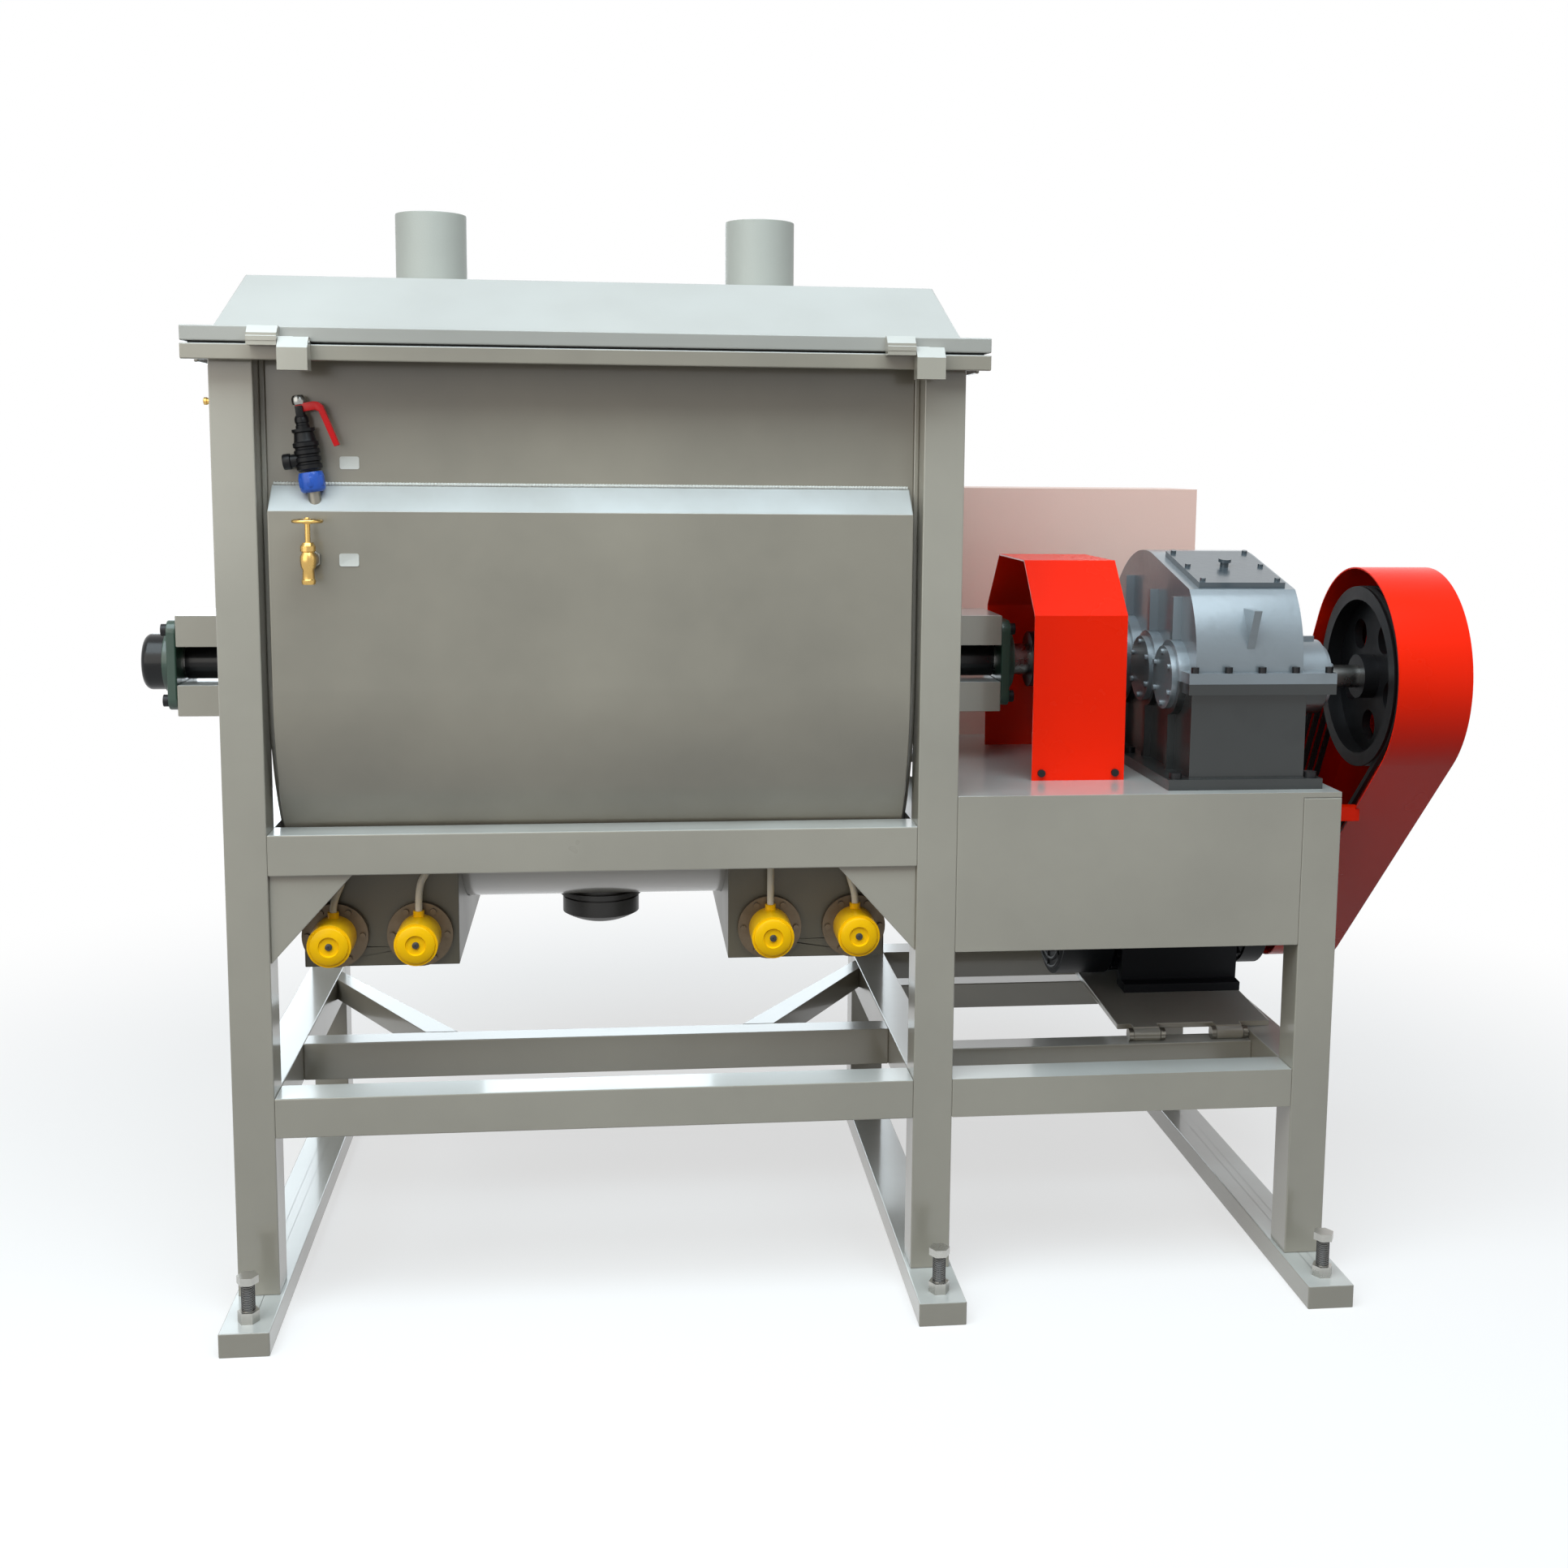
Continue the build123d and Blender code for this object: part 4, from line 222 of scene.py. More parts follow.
def make_metal_group():
    """Bare metal: drawn lines along X, stains and uneven polish."""
    group, inside, outside = new_group(
        "worked_metal",
        [("Colour", "NodeSocketColor", (0.5, 0.5, 0.5, 1)), ("Stain", "NodeSocketFloat", 0.25),
         ("Gloss", "NodeSocketFloat", 0.3), ("Stretch", "NodeSocketFloat", 8.0),
         ("Grain", "NodeSocketFloat", 220.0)],
        [("Colour", "NodeSocketColor"), ("Roughness", "NodeSocketFloat"), ("Height", "NodeSocketFloat")],
    )
    place = add_node(group, "ShaderNodeTexCoord").outputs["Object"]
    pull = add_node(group, "ShaderNodeCombineXYZ")
    group.links.new(inside.outputs["Stretch"], pull.inputs[0])
    pull.inputs[1].default_value = 1.0
    pull.inputs[2].default_value = 1.0
    drawn = add_node(group, "ShaderNodeVectorMath", operation="MULTIPLY")
    group.links.new(place, drawn.inputs[0])
    group.links.new(pull.outputs[0], drawn.inputs[1])
    grain = add_noise(group, drawn.outputs[0], inside.outputs["Grain"], detail=3)
    stain = add_noise(group, place, stain_scale, detail=5, roughness=0.65)
    value = add_math(group, "SUBTRACT", clean_metal, add_math(group, "MULTIPLY", stain, inside.outputs["Stain"]))
    shade = add_node(group, "ShaderNodeHueSaturation")
    group.links.new(inside.outputs["Colour"], shade.inputs["Color"])
    group.links.new(value, shade.inputs["Value"])
    group.links.new(shade.outputs["Color"], outside.inputs["Colour"])
    uneven = add_math(group, "MULTIPLY", add_math(group, "SUBTRACT", stain, 0.5), stain_on_gloss)
    group.links.new(add_math(group, "ADD", inside.outputs["Gloss"], uneven), outside.inputs["Roughness"])
    group.links.new(grain, outside.inputs["Height"])
    return group


sprayed_coat = make_coat_group()
worked_metal = make_metal_group()


def surface(name, group, colour, metallic=0.0, bump=0.05, coat=0.0, specular=0.5, **values):
    """A material whose colour, gloss and bump come from one of the groups."""
    material = bpy.data.materials.new(name)
    material.use_nodes = True
    tree = material.node_tree
    shader = tree.nodes["Principled BSDF"]
    effect = add_node(tree, "ShaderNodeGroup", node_tree=group)
    effect.inputs["Colour"].default_value = colour
    for key, value in values.items():
        effect.inputs[key.capitalize()].default_value = value
    relief = add_node(tree, "ShaderNodeBump")
    relief.inputs["Strength"].default_value = bump
    relief.inputs["Distance"].default_value = relief_depth
    tree.links.new(effect.outputs["Colour"], shader.inputs["Base Color"])
    tree.links.new(effect.outputs["Roughness"], shader.inputs["Roughness"])
    tree.links.new(effect.outputs["Height"], relief.inputs["Height"])
    tree.links.new(relief.outputs["Normal"], shader.inputs["Normal"])
    shader.inputs["Metallic"].default_value = metallic
    shader.inputs["Specular IOR Level"].default_value = specular
    shader.inputs["Coat Weight"].default_value = coat
    shader.inputs["Coat Roughness"].default_value = coat_roughness
    return material


# The last share on a paint sets how much pale bluish painted skylight it takes on faces that look up
finishes = {
    "grey_paint": surface("grey_paint", sprayed_coat, linear(154, 149, 137), gloss=0.30, bump=0.12, coat=0.8,
                          cloud=0.5, smudge=0.16, dust=0.45),
    "zinc_steel": surface("zinc_steel", worked_metal, linear(150, 146, 136), metallic=0.85, gloss=0.36, stain=0.6),
    "dark_steel": surface("dark_steel", sprayed_coat, linear(44, 42, 40), gloss=0.40, bump=0.3, cloud=0.5,
                          smudge=0.6),
    "gasket_rubber": surface("gasket_rubber", sprayed_coat, linear(52, 52, 50), gloss=0.7, bump=0.3),
    "shaft_steel": surface("shaft_steel", worked_metal, linear(158, 158, 155), metallic=1.0, gloss=0.28, stain=0.4),
    "green_iron": surface("green_iron", sprayed_coat, linear(44, 70, 58), gloss=0.34, bump=0.5, peel=90.0, coat=0.3,
                          cloud=0.3),
    "black_plastic": surface("black_plastic", sprayed_coat, linear(17, 18, 20), gloss=0.26, bump=0.06, coat=0.1,
                             specular=0.25),
    "dark_iron": surface("dark_iron", worked_metal, linear(38, 38, 40), metallic=0.6, gloss=0.38, stain=0.5),
    # Painted light: lightened and bluish to stand in for the light and reflections on the reducer's upper casing;
    # the lower housing takes a shaded copy
    "reducer_paint": surface("reducer_paint", sprayed_coat, linear(122, 131, 137), metallic=0.35, gloss=0.32,
                             bump=0.45, peel=70.0, cloud=0.9, smudge=1.4, coat=0.6),
    "guard_orange": surface("guard_orange", sprayed_coat, linear(244, 34, 0), gloss=0.26, bump=0.08,
                            specular=0.14, cloud=0.06),
    "belt_rubber": surface("belt_rubber", sprayed_coat, linear(24, 24, 25), gloss=0.75, bump=0.3),
    "motor_black": surface("motor_black", sprayed_coat, linear(22, 24, 28), gloss=0.46, bump=0.35, peel=110.0,
                           specular=0.15),
    "heater_yellow": surface("heater_yellow", sprayed_coat, linear(255, 196, 0), gloss=0.30, bump=0.06,
                             specular=0.2),
    "lead_white": surface("lead_white", sprayed_coat, linear(222, 218, 208), gloss=0.65, bump=0.5, peel=420.0),
    "valve_blue": surface("valve_blue", sprayed_coat, linear(34, 84, 180), gloss=0.28, bump=0.2, coat=0.15,
                          specular=0.3),
    "valve_black": surface("valve_black", sprayed_coat, linear(16, 16, 18), gloss=0.36, bump=0.3, peel=120.0,
                           specular=0.2),
    "lever_red": surface("lever_red", sprayed_coat, linear(214, 18, 24), gloss=0.28, bump=0.06, specular=0.3),
    "brass": surface("brass", worked_metal, linear(216, 178, 106), metallic=1.0, gloss=0.26, stain=0.4),
    "cabinet_beige": surface("cabinet_beige", sprayed_coat, linear(224, 190, 177), gloss=0.40, bump=0.25, peel=240.0,
                             coat=0.15),
}

# Finishes of single nodes that differ from their slot's
pipe_grey = surface("pipe_grey", sprayed_coat, linear(158, 159, 152), gloss=0.46, bump=0.4, peel=320.0, cloud=0.15,
                    smudge=0.3)
# Painted shade: a darker copy of the grey paint for the heater chambers, standing in for the shade they sit in under
# the tank
shaded_chamber_paint = surface("shaded_chamber_paint", sprayed_coat, linear(92, 86, 70), gloss=0.34, bump=0.15, cloud=0.4,
                      smudge=0.9)
# Painted shade: a darker copy of the reducer paint for its lower housing, standing in for the shade it sits in
shaded_reducer_lower = surface("shaded_reducer_lower", sprayed_coat, linear(50, 53, 53), metallic=0.35, gloss=0.30, bump=0.45,
                       peel=70.0, cloud=0.9, smudge=1.2, coat=0.4)
cover_paint = surface("cover_paint", sprayed_coat, linear(74, 85, 92), metallic=0.35, gloss=0.30, bump=0.45,
                      peel=70.0, cloud=0.6, smudge=0.8, coat=0.5)
straw_steel = surface("straw_steel", worked_metal, linear(122, 106, 86), metallic=0.6, gloss=0.40, stain=0.8)
bright_zinc = surface("bright_zinc", worked_metal, linear(200, 198, 192), metallic=0.9, gloss=0.30, stain=0.5)
# Pale finish: on the ledge weld its pale tone is a painted highlight for the glints along the rough bead; on the
# tags it is their bare metal
bright_bead = surface("bright_bead", sprayed_coat, linear(206, 207, 202), gloss=0.40, bump=0.3, cloud=0.2)
# Painted shade: a darker copy of the grey paint for the jacket, trough and rim, standing in for the shade on the
# tank; it also takes the most painted skylight
shaded_tank_paint = surface("shaded_tank_paint", sprayed_coat, linear(135, 129, 116), gloss=0.30, bump=0.08, coat=0.7, cloud=0.75,
                     smudge=0.05, dust=0.75)
lid_paint = surface("lid_paint", sprayed_coat, linear(152, 151, 145), gloss=0.36, bump=0.03, coat=0.3, cloud=0.4,
                    smudge=0.08, dust=0.18)
own_finish = {
    "jacket": shaded_tank_paint, "trough": shaded_tank_paint, "trough_rim": shaded_tank_paint, "lid": lid_paint,
    "inlet_pipes": pipe_grey, "heater_chambers": shaded_chamber_paint, "reducer_lower": shaded_reducer_lower,
    "inspection_cover": cover_paint, "immersion_heaters": straw_steel, "levelling_bolts": bright_zinc,
    "drive_bolts": finishes["dark_iron"],
}

# Finishes on the carried-over nodes, with a small rounding on folded and sawn edges
edge_rounding = {
    "grey_paint": 0.0022, "guard_orange": 0.0025, "reducer_paint": 0.0035, "green_iron": 0.003,
    "cabinet_beige": 0.002, "motor_black": 0.0015, "heater_yellow": 0.004, "zinc_steel": 0.0012,
    "black_plastic": 0.003, "dark_steel": 0.002,
}
edge_angle = radians(32)
merge_reach = 0.00002


def round_edges(piece, width):
    """Joins a piece's loose triangles and rounds its sharp edges."""
    weld = piece.modifiers.new("join", "WELD")
    weld.merge_threshold = merge_reach
    bevel = piece.modifiers.new("round", "BEVEL")
    bevel.width = width
    bevel.segments = 2
    bevel.limit_method = "ANGLE"
    bevel.angle_limit = edge_angle
    bevel.use_clamp_overlap = True
    flat = piece.modifiers.new("flat", "WEIGHTED_NORMAL")
    flat.keep_sharp = True


for entry in frame["record"]["subparts"]:
    piece = nodes[entry["node"]]
    slot = entry["material_slot"]
    piece.data.materials.clear()
    piece.data.materials.append(own_finish.get(entry["node"], finishes[slot]))
    if slot in edge_rounding:
        round_edges(piece, edge_rounding[slot])


# Building blocks for the fittings

def piece_from(shape, name, finish, body, smooth_angle=35, material=None):
    """Makes a finished object of a bmesh, with a finish, riding on a body."""
    mesh = bpy.data.meshes.new(name)
    bmesh.ops.recalc_face_normals(shape, faces=shape.faces)
    shape.to_mesh(mesh)
    shape.free()
    mesh.materials.append(material or finishes[finish])
    mesh.shade_smooth()
    mesh.set_sharp_from_angle(angle=radians(smooth_angle))
    piece = bpy.data.objects.new(name, mesh)
    bpy.context.scene.collection.objects.link(piece)
    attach(piece, body)
    return piece


def add_turned(shape, profile, place, steps=32):
    """Spins a profile of (radius, height) points about the place's own Z."""
    corners = [shape.verts.new(place @ Vector((radius, 0, height))) for radius, height in profile]
    edges = [shape.edges.new(pair) for pair in zip(corners, corners[1:])]
    axis = (place.to_3x3() @ Vector((0, 0, 1))).normalized()
    bmesh.ops.spin(shape, geom=corners + edges, cent=place.translation, axis=axis, angle=2 * pi, steps=steps,
                   use_merge=True, use_duplicate=False)
    bmesh.ops.remove_doubles(shape, verts=shape.verts, dist=merge_reach)


def round_off(shape, edges, offset, segments=2):
    """Rounds some edges of a shape."""
    bmesh.ops.bevel(shape, geom=edges, offset=offset, segments=segments, profile=0.5, affect="EDGES", material=-1)


def edges_of(made):
    """The edges round the vertices that an operator made."""
    return list({edge for vert in made["verts"] for edge in vert.link_edges})


def add_block(shape, size, place, rounding):
    """Adds a block of a size at a place, with its edges rounded."""
    made = bmesh.ops.create_cube(shape, size=1.0, matrix=place @ Matrix.Diagonal((*size, 1)))
    round_off(shape, edges_of(made), rounding)


def add_bar(shape, start, end, radius, segments=16):
    """A round bar between two points."""
    way = Vector(end) - Vector(start)
    place = Matrix.Translation((Vector(start) + Vector(end)) / 2) @ way.to_track_quat("Z", "Y").to_matrix().to_4x4()
    bmesh.ops.create_cone(shape, cap_ends=True, segments=segments, radius1=radius, radius2=radius,
                          depth=way.length, matrix=place)


def add_hexagon(shape, radius, length, place, rounding):
    """A hexagon bar about the place's own Z, with its edges rounded."""
    made = bmesh.ops.create_cone(shape, cap_ends=True, segments=6, radius1=radius, radius2=radius, depth=length,
                                 matrix=place)
    round_off(shape, edges_of(made), rounding)


def around(count):
    """A whole turn as a number of even angles."""
    return [2 * pi * step / count for step in range(count)]


def ring_profile(radius, wire, sides):
    """The closed section of a round ring, for turning."""
    return [(radius + wire * cos(turn), wire * sin(turn)) for turn in around(sides) + [2 * pi]]


# Heater leads: braided sleeves from the caps up into the duct
heater_places = (-1.191, -1.025, -0.324, -0.151)
duct_places = (-1.166, -1.005, -0.324, -0.169)
lead_bends = ((0.8146, 0.8674), (0.8478, 0.8742), (0.830, 0.860), (0.8146, 0.8674))  # lower and upper height
lead_radius = 0.007
lead_y = -0.420
lead_foot = 0.7947
lead_head = 0.8928


def make_lead(node, route):
    """One lead as a smooth curve along its route."""
    curve = bpy.data.curves.new(node + "_sleeve", "CURVE")
    curve.dimensions = "3D"
    curve.bevel_depth = lead_radius
    curve.bevel_resolution = 6
    curve.use_fill_caps = True
    spline = curve.splines.new("NURBS")
    spline.points.add(len(route) - 1)
    for point, (x, z) in zip(spline.points, route):
        point.co = (x, lead_y, z, 1)
    spline.order_u = 3
    spline.use_endpoint_u = True
    spline.resolution_u = 16
    curve.materials.append(finishes["lead_white"])
    sleeve = bpy.data.objects.new(node + "_sleeve", curve)
    bpy.context.scene.collection.objects.link(sleeve)
    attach(sleeve, "frame")
    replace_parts(sleeve, node)


for number, (x, top_x, (low, high)) in enumerate(zip(heater_places, duct_places, lead_bends), 1):
    make_lead(f"heater_lead_{number}", [(x, lead_foot), (x, low), (top_x, high), (top_x, lead_head)])

# Relief valve: ribbed body, spring cap, blue hexagon and a broad lever, leaning to the left
valve_foot = Vector((-1.195, -0.485, 1.6087))
valve_lean = radians(-8)
valve_place = Matrix.Translation(valve_foot) @ Matrix.Rotation(valve_lean, 4, "Y")
valve_pin_height = 0.167
outlet_height = 0.0745
rib_heights = (0.060, 0.074, 0.088, 0.102)
rib_half = 0.0035
rib_slope = 0.002
rib_radius = 0.024
neck_radius = 0.0212
ear_size = (0.014, 0.0038, 0.021)
ear_from_middle = 0.011
ear_height = 0.1635
ear_rounding = 0.0012
pin_half = 0.0135
pin_radius = 0.003
hexagon_radius = 0.026
hexagon_length = 0.020
hexagon_height = 0.032
hexagon_rounding = 0.0018
lever_half = 0.0084
lever_rounding = 0.0012


def make_valve_body():
    """The black body with its ribs, side outlet, ears and pin."""
    shape = bmesh.new()
    profile = [(0, 0.052), (0.020, 0.052)]
    for height in rib_heights:
        profile += [(neck_radius, height - rib_half - rib_slope), (rib_radius, height - rib_half),
                    (rib_radius, height + rib_half), (neck_radius, height + rib_half + rib_slope)]
    profile += [(0.020, 0.112), (0.018, 0.124), (0.0215, 0.126), (0.0215, 0.1315), (0, 0.1315)]
    add_turned(shape, profile, valve_place)
    outlet = valve_place @ Matrix.Translation((0, 0, outlet_height)) @ Matrix.Rotation(-pi / 2, 4, "Y")
    add_turned(shape, [(0, 0.015), (0.0125, 0.015), (0.0125, 0.031), (0.015, 0.0325), (0.015, 0.044),
                       (0.0138, 0.046), (0.0105, 0.046), (0.0100, 0.034), (0, 0.034)], outlet)
    for side in (-1, 1):
        ear_place = valve_place @ Matrix.Translation((0, side * ear_from_middle, ear_height))
        add_block(shape, ear_size, ear_place, ear_rounding)
    add_bar(shape, valve_place @ Vector((0, -pin_half, valve_pin_height)),
            valve_place @ Vector((0, pin_half, valve_pin_height)), pin_radius)
    return piece_from(shape, "relief_valve_body", "valve_black", "frame")


def make_valve_cap():
    """The black spring cap with its groove."""
    shape = bmesh.new()
    add_turned(shape, [(0, 0.1315), (0.0130, 0.1315), (0.0130, 0.137), (0.0118, 0.138), (0.0118, 0.142),
                       (0.0130, 0.143), (0.0130, 0.151), (0.0105, 0.1560), (0.0055, 0.1575), (0, 0.1577)],
               valve_place)
    return piece_from(shape, "relief_valve_cap", "valve_black", "frame")


def make_valve_hexagon():
    """The blue base: a chamfered hexagon on a turned skirt."""
    shape = bmesh.new()
    add_turned(shape, [(0, 0.0125), (0.019, 0.0125), (0.0225, 0.016), (0.0235, 0.020), (0.0235, 0.044),
                       (0.0215, 0.050), (0, 0.0522)], valve_place)
    add_hexagon(shape, hexagon_radius, hexagon_length, valve_place @ Matrix.Translation((0, 0, hexagon_height)),
                hexagon_rounding)
    return piece_from(shape, "relief_valve_hexagon", "valve_blue", "frame")


def make_valve_nipple():
    """The bare nipple welded into the ledge."""
    shape = bmesh.new()
    add_turned(shape, [(0, -0.012), (0.012, -0.012), (0.012, 0.013), (0, 0.013)], valve_place)
    return piece_from(shape, "relief_valve_nipple", "zinc_steel", "frame")


def make_valve_lever():
    """A bent strap: over the pin, then down along the body."""
    shape = bmesh.new()
    outer = [(-0.0060, 0.1775), (0.028, 0.1790), (0.0370, 0.1765), (0.0435, 0.1690), (0.0620, 0.0935)]
    inner = [(0.0520, 0.0910), (0.0345, 0.1590), (0.0280, 0.1630), (-0.0060, 0.1620)]
    corners = [shape.verts.new(valve_place @ Vector((x, -lever_half, z))) for x, z in outer + inner]
    cheek = shape.faces.new(corners)
    grown = bmesh.ops.extrude_face_region(shape, geom=[cheek])
    moved = [item for item in grown["geom"] if isinstance(item, bmesh.types.BMVert)]
    across = valve_place.to_3x3() @ Vector((0, 2 * lever_half, 0))
    bmesh.ops.translate(shape, verts=moved, vec=across)
    bmesh.ops.recalc_face_normals(shape, faces=shape.faces)
    round_off(shape, [edge for edge in shape.edges if edge.calc_face_angle(0) > radians(15)], lever_rounding)
    return piece_from(shape, "relief_lever_channel", "lever_red", "valve_lever")


def make_lever_cap():
    """The bright button over the lever's hub."""
    shape = bmesh.new()
    add_turned(shape, [(0, 0.1765), (0.0115, 0.1765), (0.0125, 0.1800), (0.0125, 0.1880), (0.0095, 0.1935),
                       (0, 0.1950)], valve_place)
    return piece_from(shape, "relief_lever_button", "shaft_steel", "valve_lever")


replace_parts(make_valve_body(), "relief_valve")
make_lever_cap()
make_valve_cap()
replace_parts(make_valve_hexagon(), "relief_base")
make_valve_nipple()
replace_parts(make_valve_lever(), "relief_lever")

# Tap: turned brass body, bright nut on the jacket and a spoked wheel
tap_place = Vector((-1.199, -0.555, 1.497))
jacket_front = -0.510
wheel_height = 0.072
wheel_radius = 0.0255
wheel_wire = 0.0035
wheel_spokes = 4
spoke_radius = 0.0026
spoke_start = 0.007
stem_radius = 0.005
stem_ends = (-0.056, -0.004)
nut_radius = 0.019
nut_length = 0.012
nut_from_jacket = 0.0062
nut_rounding = 0.0014


def make_tap_body():
    """The cast body with its bonnet, spout and inlet."""
    shape = bmesh.new()
    upright = Matrix.Translation(tap_place)
    add_turned(shape, [(0.0060, -0.0350), (0.0082, -0.0450), (0.0118, -0.0450), (0.0130, -0.0420),
                       (0.0130, -0.0370), (0.0112, -0.0350), (0.0105, -0.0180), (0.0138, -0.0120),
                       (0.0150, -0.0020), (0.0148, 0.0060), (0.0122, 0.0120), (0.0112, 0.0150),
                       (0.0140, 0.0165), (0.0140, 0.0260), (0.0118, 0.0285), (0.0098, 0.0325),
                       (0.0053, 0.0328), (0.0053, 0.0120), (0, 0.0120)], upright)
    inlet = upright @ Matrix.Rotation(-pi / 2, 4, "X")
    add_turned(shape, [(0, 0.004), (0.0105, 0.004), (0.0105, 0.030), (0.0118, 0.0315), (0.0118, 0.0445),
                       (0, 0.0445)], inlet)
    return piece_from(shape, "tap_casting", "brass", "frame")


def make_tap_nut():
    """The bright hexagon that holds the tap on the jacket."""
    shape = bmesh.new()
    centre = (tap_place.x, jacket_front - nut_from_jacket, tap_place.z)
    place = Matrix.Translation(centre) @ Matrix.Rotation(pi / 2, 4, "X")
    add_hexagon(shape, nut_radius, nut_length, place, nut_rounding)
    add_turned(shape, [(0, 0.005), (0.015, 0.005), (0.0145, 0.010), (0, 0.010)], place)
    return piece_from(shape, "tap_nut", "zinc_steel", "frame")


def make_tap_wheel():
    """The wheel: a round rim, a boss with its screw and straight spokes, on a stem."""
    shape = bmesh.new()
    place = Matrix.Translation(tap_place + Vector((0, 0, wheel_height)))
    add_turned(shape, ring_profile(wheel_radius, wheel_wire, sides=12), place, steps=40)
    add_turned(shape, [(0, -0.0050), (0.0090, -0.0050), (0.0100, -0.0030), (0.0090, 0.0040), (0.0048, 0.0050),
                       (0.0042, 0.0068), (0, 0.0072)], place)
    for turn in around(wheel_spokes):
        way = Vector((cos(turn), sin(turn), 0))
        add_bar(shape, place @ (spoke_start * way), place @ (wheel_radius * way), spoke_radius, segments=10)
    low, high = [place @ Vector((0, 0, height)) for height in stem_ends]
    add_bar(shape, low, high, stem_radius, segments=20)
    return piece_from(shape, "tap_wheel_spoked", "brass", "tap_wheel")


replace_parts(make_tap_body(), "tap_body")
make_tap_nut()
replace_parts(make_tap_wheel(), "tap_handwheel")

# Heater cap fronts: a raised step, a dished middle and a dark screw
caps_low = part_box("heater_caps")[0]
cap_radius = 0.0425
cap_axis_z = caps_low[2] + cap_radius
cap_front = caps_low[1]
for number, x in enumerate(heater_places, 1):
    facing = Matrix.Translation((x, cap_front, cap_axis_z)) @ Matrix.Rotation(pi / 2, 4, "X")
    step = bmesh.new()
    add_turned(step, [(0.0385, -0.001), (0.0370, 0.0035), (0.0340, 0.0055), (0.0200, 0.0065), (0.0185, 0.0035),
                      (0.0110, 0.0030), (0, 0.0030)], facing, steps=40)
    piece_from(step, f"heater_cap_front_{number}", "heater_yellow", "frame")
    screw = bmesh.new()
    add_turned(screw, [(0.0070, 0.0025), (0.0068, 0.0060), (0.0050, 0.0072), (0.0016, 0.0072), (0.0014, 0.0056),
                       (0, 0.0056)], facing, steps=20)
    piece_from(screw, f"heater_cap_screw_{number}", "dark_steel", "frame")

# Two bare tags beside the valve and the tap
tag_size = (0.036, 0.0014, 0.024)
tag_rim = 0.0035
tag_dish = 0.0006
tag_corner = 0.004
tag_places = {"valve_tag": (-1.134, -0.456, 1.676), "tap_tag": (-1.131, -0.510, 1.495)}
for name, place in tag_places.items():
    tag = bmesh.new()
    centre = Matrix.Translation(Vector(place) - Vector((0, tag_size[1] / 2, 0)))
    bmesh.ops.create_cube(tag, size=1.0, matrix=centre @ Matrix.Diagonal((*tag_size, 1)))
    # Edges that run front to back
    corners = [edge for edge in tag.edges if abs((edge.verts[0].co - edge.verts[1].co).normalized().y) > 0.9]
    round_off(tag, corners, tag_corner, segments=4)
    tag.faces.ensure_lookup_table()
    front = min(tag.faces, key=lambda face: face.calc_center_median().y)
    bmesh.ops.inset_region(tag, faces=[front], thickness=tag_rim, depth=-tag_dish)
    piece_from(tag, name, "grey_paint", "frame", smooth_angle=20, material=bright_bead)

# Brass vent plug on the left column
vent_place = (-1.377, -0.475, 1.788)
vent = bmesh.new()
add_turned(vent, [(0, -0.001), (0.0085, -0.001), (0.0085, 0.0045), (0.0060, 0.0055), (0.0060, 0.0100),
                  (0.0072, 0.0110), (0.0072, 0.0160), (0.0050, 0.0175), (0, 0.0180)],
           Matrix.Translation(vent_place) @ Matrix.Rotation(-pi / 2, 4, "Y"), steps=24)
piece_from(vent, "column_vent_plug", "brass", "frame")

# Dark sleeves on the shaft between the bearings and the seals
sleeve_radius = 0.0372
sleeve_inner = 0.0352
sleeve_edge = 0.001
sleeve_gap = 0.004
housing_depth = 0.038
seals_low, seals_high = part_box("shaft_seals")
housings_low, housings_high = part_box("bearing_housings")
shaft_axis_z = (seals_low[2] + seals_high[2]) / 2
sleeve_ends = {
    "shaft_sleeve_left": (housings_low[0] + housing_depth + sleeve_gap, seals_low[0] - sleeve_gap),
    "shaft_sleeve_right": (seals_high[0] + sleeve_gap, housings_high[0] - housing_depth - sleeve_gap),
}
for name, (left, right) in sleeve_ends.items():
    sleeve = bmesh.new()
    length = right - left
    add_turned(sleeve, [(sleeve_inner, 0), (sleeve_radius - sleeve_edge, 0), (sleeve_radius, sleeve_edge),
                        (sleeve_radius, length - sleeve_edge), (sleeve_radius - sleeve_edge, length),
                        (sleeve_inner, length), (sleeve_inner, 0)],
               Matrix.Translation((left, 0, shaft_axis_z)) @ Matrix.Rotation(pi / 2, 4, "Y"), steps=40)
    piece_from(sleeve, name, "black_plastic", "agitator")

# Threads on the levelling bolts, between their nuts and heads
bolt_rows = (-1.337, 0.0, 0.794)
bolt_sides = (-0.619, 0.619)
thread_low = 0.0705
thread_pitch = 0.003
thread_turns = 18
thread_root = 0.0118
thread_crest = 0.0132
thread_profile = [(0, thread_low), (thread_root, thread_low)]
for turn in range(thread_turns):
    foot = thread_low + turn * thread_pitch
    thread_profile += [(thread_crest, foot + thread_pitch / 2), (thread_root, foot + thread_pitch)]
thread_profile.append((0, thread_low + thread_turns * thread_pitch))
for number, (x, y) in enumerate([(x, y) for x in bolt_rows for y in bolt_sides], 1):
    thread = bmesh.new()
    add_turned(thread, thread_profile, Matrix.Translation((x, y, 0)), steps=24)
    piece_from(thread, f"levelling_thread_{number}", "dark_iron", "frame", smooth_angle=25)

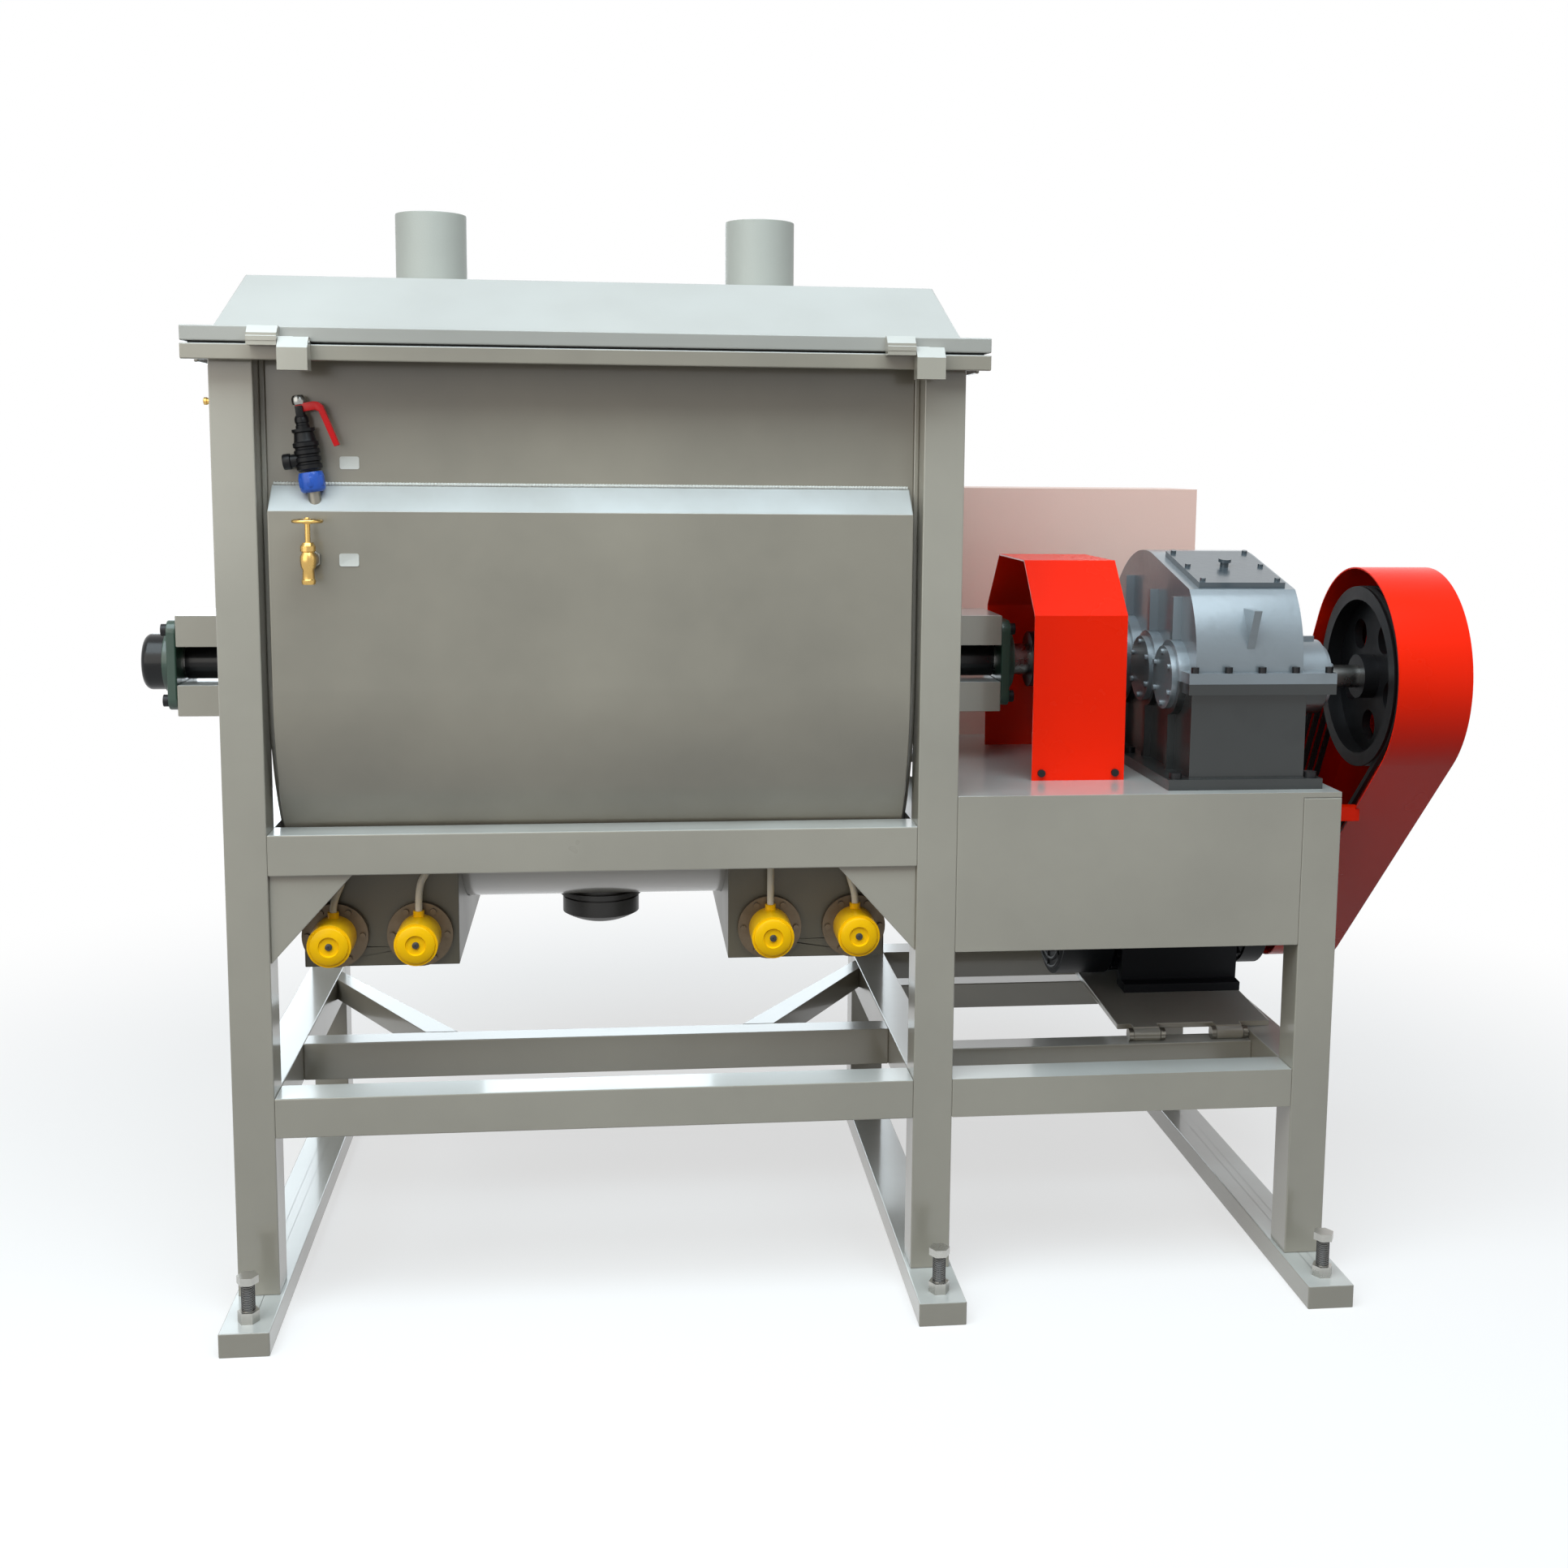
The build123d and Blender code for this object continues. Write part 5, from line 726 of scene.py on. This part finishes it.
# Rings, bars and a hub plate on the end of the motor's fan cover
fan_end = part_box("motor_frame")[0][0]
fan_axis = (0.112223, 0.640383)
grille_rings = (0.040, 0.060, 0.080, 0.100, 0.120, 0.140)
grille_wire = 0.0042
grille_bars = 8
bar_start = 0.020
grille = bmesh.new()
fan_place = Matrix.Translation((fan_end, *fan_axis)) @ Matrix.Rotation(-pi / 2, 4, "Y")
for radius in grille_rings:
    add_turned(grille, ring_profile(radius, grille_wire, sides=8), fan_place, steps=48)
for turn in around(grille_bars):
    way = Vector((cos(turn), sin(turn), 0))
    add_bar(grille, fan_place @ (bar_start * way), fan_place @ (grille_rings[-1] * way), grille_wire,
            segments=8)
add_turned(grille, [(0, -0.001), (0.026, -0.001), (0.026, 0.0045), (0.022, 0.0060), (0, 0.0065)], fan_place)
piece_from(grille, "motor_fan_grille", "motor_black", "motor_mount")

# Weld bead where the jacket's ledge meets the trough wall, pale as a painted highlight for the glints along it
jacket_low, jacket_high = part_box("jacket")
ripple_pitch = 0.006
bead_radius = 0.0032
ripple_height = 0.0007
ripple_steps = 4
bead_line = (-0.4575, 1.6362)  # its Y and Z
bead_inset = 0.004


def add_bead(shape, start, end):
    """A rippled weld bead from one point to another."""
    start, end = Vector(start), Vector(end)
    way = end - start
    steps = int(way.length / ripple_pitch * ripple_steps)
    place = Matrix.Translation(start) @ way.to_track_quat("Z", "Y").to_matrix().to_4x4()
    made = bmesh.ops.create_circle(shape, cap_ends=True, radius=bead_radius, segments=8, matrix=place)
    bmesh.ops.spin(shape, geom=made["verts"] + edges_of(made), cent=start, axis=(0, 0, 1), dvec=way / steps, angle=0,
                   steps=steps, use_duplicate=False)
    for vert in shape.verts:
        along = (vert.co - start).dot(way) / way.length
        axis_point = start + way * (along / way.length)
        swell = 1 + ripple_height / bead_radius * sin(2 * pi * along / ripple_pitch)
        vert.co = axis_point + (vert.co - axis_point) * swell


bead = bmesh.new()
add_bead(bead, (jacket_low[0] + bead_inset, *bead_line), (jacket_high[0] - bead_inset, *bead_line))
piece_from(bead, "ledge_weld", "grey_paint", "frame", smooth_angle=60, material=bright_bead)

# Floor, lamps, background and camera
floor_shape = bmesh.new()
bmesh.ops.create_grid(floor_shape, x_segments=1, y_segments=1, size=floor_half,
                      matrix=Matrix.Translation((0, 0, cad_box[0][2])))
floor_mesh = bpy.data.meshes.new("floor")
floor_shape.to_mesh(floor_mesh)
floor_shape.free()
floor = bpy.data.objects.new("floor", floor_mesh)
bpy.context.scene.collection.objects.link(floor)


def seen_plainly(tree):
    """One where the camera, a reflection or glass looks, and zero for a bounce of light."""
    ray = add_node(tree, "ShaderNodeLightPath")
    return add_math(tree, "MAXIMUM", ray.outputs["Is Camera Ray"],
                    add_math(tree, "MAXIMUM", ray.outputs["Is Glossy Ray"], ray.outputs["Is Transmission Ray"]))


def make_floor_finish():
    """White to the camera and in reflections, with the shadow kept near the object; grey as a bounce."""
    material = bpy.data.materials.new("pale_floor")
    material.use_nodes = True
    tree = material.node_tree
    tree.nodes.clear()
    seen = seen_plainly(tree)
    reach = add_node(tree, "ShaderNodeVectorMath", operation="DISTANCE")
    tree.links.new(add_node(tree, "ShaderNodeTexCoord").outputs["Object"], reach.inputs[0])
    reach.inputs[1].default_value = (middle.x, middle.y, cad_box[0][2])
    fade = add_node(tree, "ShaderNodeMapRange", interpolation_type="SMOOTHSTEP")
    tree.links.new(reach.outputs["Value"], fade.inputs["Value"])
    for label, value in (("From Min", shadow_reach[0]), ("From Max", shadow_reach[1]), ("To Min", shadow_white)):
        fade.inputs[label].default_value = value
    lit = add_node(tree, "ShaderNodeBsdfDiffuse")
    lit.inputs["Color"].default_value = floor_tone
    plain = add_node(tree, "ShaderNodeEmission")
    bounce = add_node(tree, "ShaderNodeBsdfDiffuse")
    bounce.inputs["Color"].default_value = floor_bounce
    shown = add_node(tree, "ShaderNodeMixShader")
    tree.links.new(fade.outputs["Result"], shown.inputs[0])
    tree.links.new(lit.outputs[0], shown.inputs[1])
    tree.links.new(plain.outputs[0], shown.inputs[2])
    choose = add_node(tree, "ShaderNodeMixShader")
    tree.links.new(seen, choose.inputs[0])
    tree.links.new(bounce.outputs[0], choose.inputs[1])
    tree.links.new(shown.outputs[0], choose.inputs[2])
    tree.links.new(choose.outputs[0], add_node(tree, "ShaderNodeOutputMaterial").inputs[0])
    return material


def make_world():
    """A pale sky for the light, white where the camera, a reflection or glass looks at it."""
    world = bpy.data.worlds.new("studio")
    world.use_nodes = True
    tree = world.node_tree
    sky = tree.nodes["Background"]
    sky.inputs["Color"].default_value = sky_colour
    sky.inputs["Strength"].default_value = sky_strength
    seen = seen_plainly(tree)
    white = add_node(tree, "ShaderNodeBackground")
    choose = add_node(tree, "ShaderNodeMixShader")
    tree.links.new(seen, choose.inputs[0])
    tree.links.new(sky.outputs[0], choose.inputs[1])
    tree.links.new(white.outputs[0], choose.inputs[2])
    tree.links.new(choose.outputs[0], tree.nodes["World Output"].inputs[0])
    white.inputs["Color"].default_value = (1, 1, 1, 1)
    white.inputs["Strength"].default_value = 1.0
    return world


floor_mesh.materials.append(make_floor_finish())
bpy.context.scene.world = make_world()


def add_lamp(name, place, power, size, colour):
    """A soft rectangular lamp of a colour, aimed at the middle of the part."""
    lamp = bpy.data.lights.new(name, "AREA")
    lamp.shape = "RECTANGLE"
    lamp.size, lamp.size_y = size
    lamp.energy = power
    lamp.color = colour
    holder = bpy.data.objects.new(name, lamp)
    bpy.context.scene.collection.objects.link(holder)
    aim = middle - Vector(place)
    holder.matrix_world = Matrix.Translation(place) @ aim.to_track_quat("-Z", "Y").to_matrix().to_4x4()


add_lamp("top_lamp", (middle.x - 0.5, middle.y - 2.3, 5.0), top_lamp_power, top_lamp_size, cool_light)
add_lamp("front_lamp", (middle.x - 3.8, -4.2, 3.0), front_lamp_power, front_lamp_size, warm_light)
add_lamp("side_lamp", (middle.x + 4.5, -1.5, 3.2), side_lamp_power, side_lamp_size, warm_light)
add_lamp("back_lamp", (middle.x - 0.8, 5.5, 1.9), back_lamp_power, back_lamp_size, cool_light)

camera_data = bpy.data.cameras.new("camera")
camera_data.sensor_width = camera_sensor
camera_data.lens = camera_lens
camera_data.shift_x, camera_data.shift_y = camera_shift
camera = bpy.data.objects.new("camera", camera_data)
bpy.context.scene.collection.objects.link(camera)
camera.matrix_world = (
    Matrix.Translation(camera_place)
    @ Matrix.Rotation(camera_turn, 4, "Z")
    @ Matrix.Rotation(camera_pitch, 4, "X")
    @ Matrix.Rotation(camera_roll, 4, "Y")
    @ Matrix.Rotation(pi / 2, 4, "X")
)
bpy.context.scene.camera = camera
bpy.context.scene.view_settings.view_transform = "Standard"
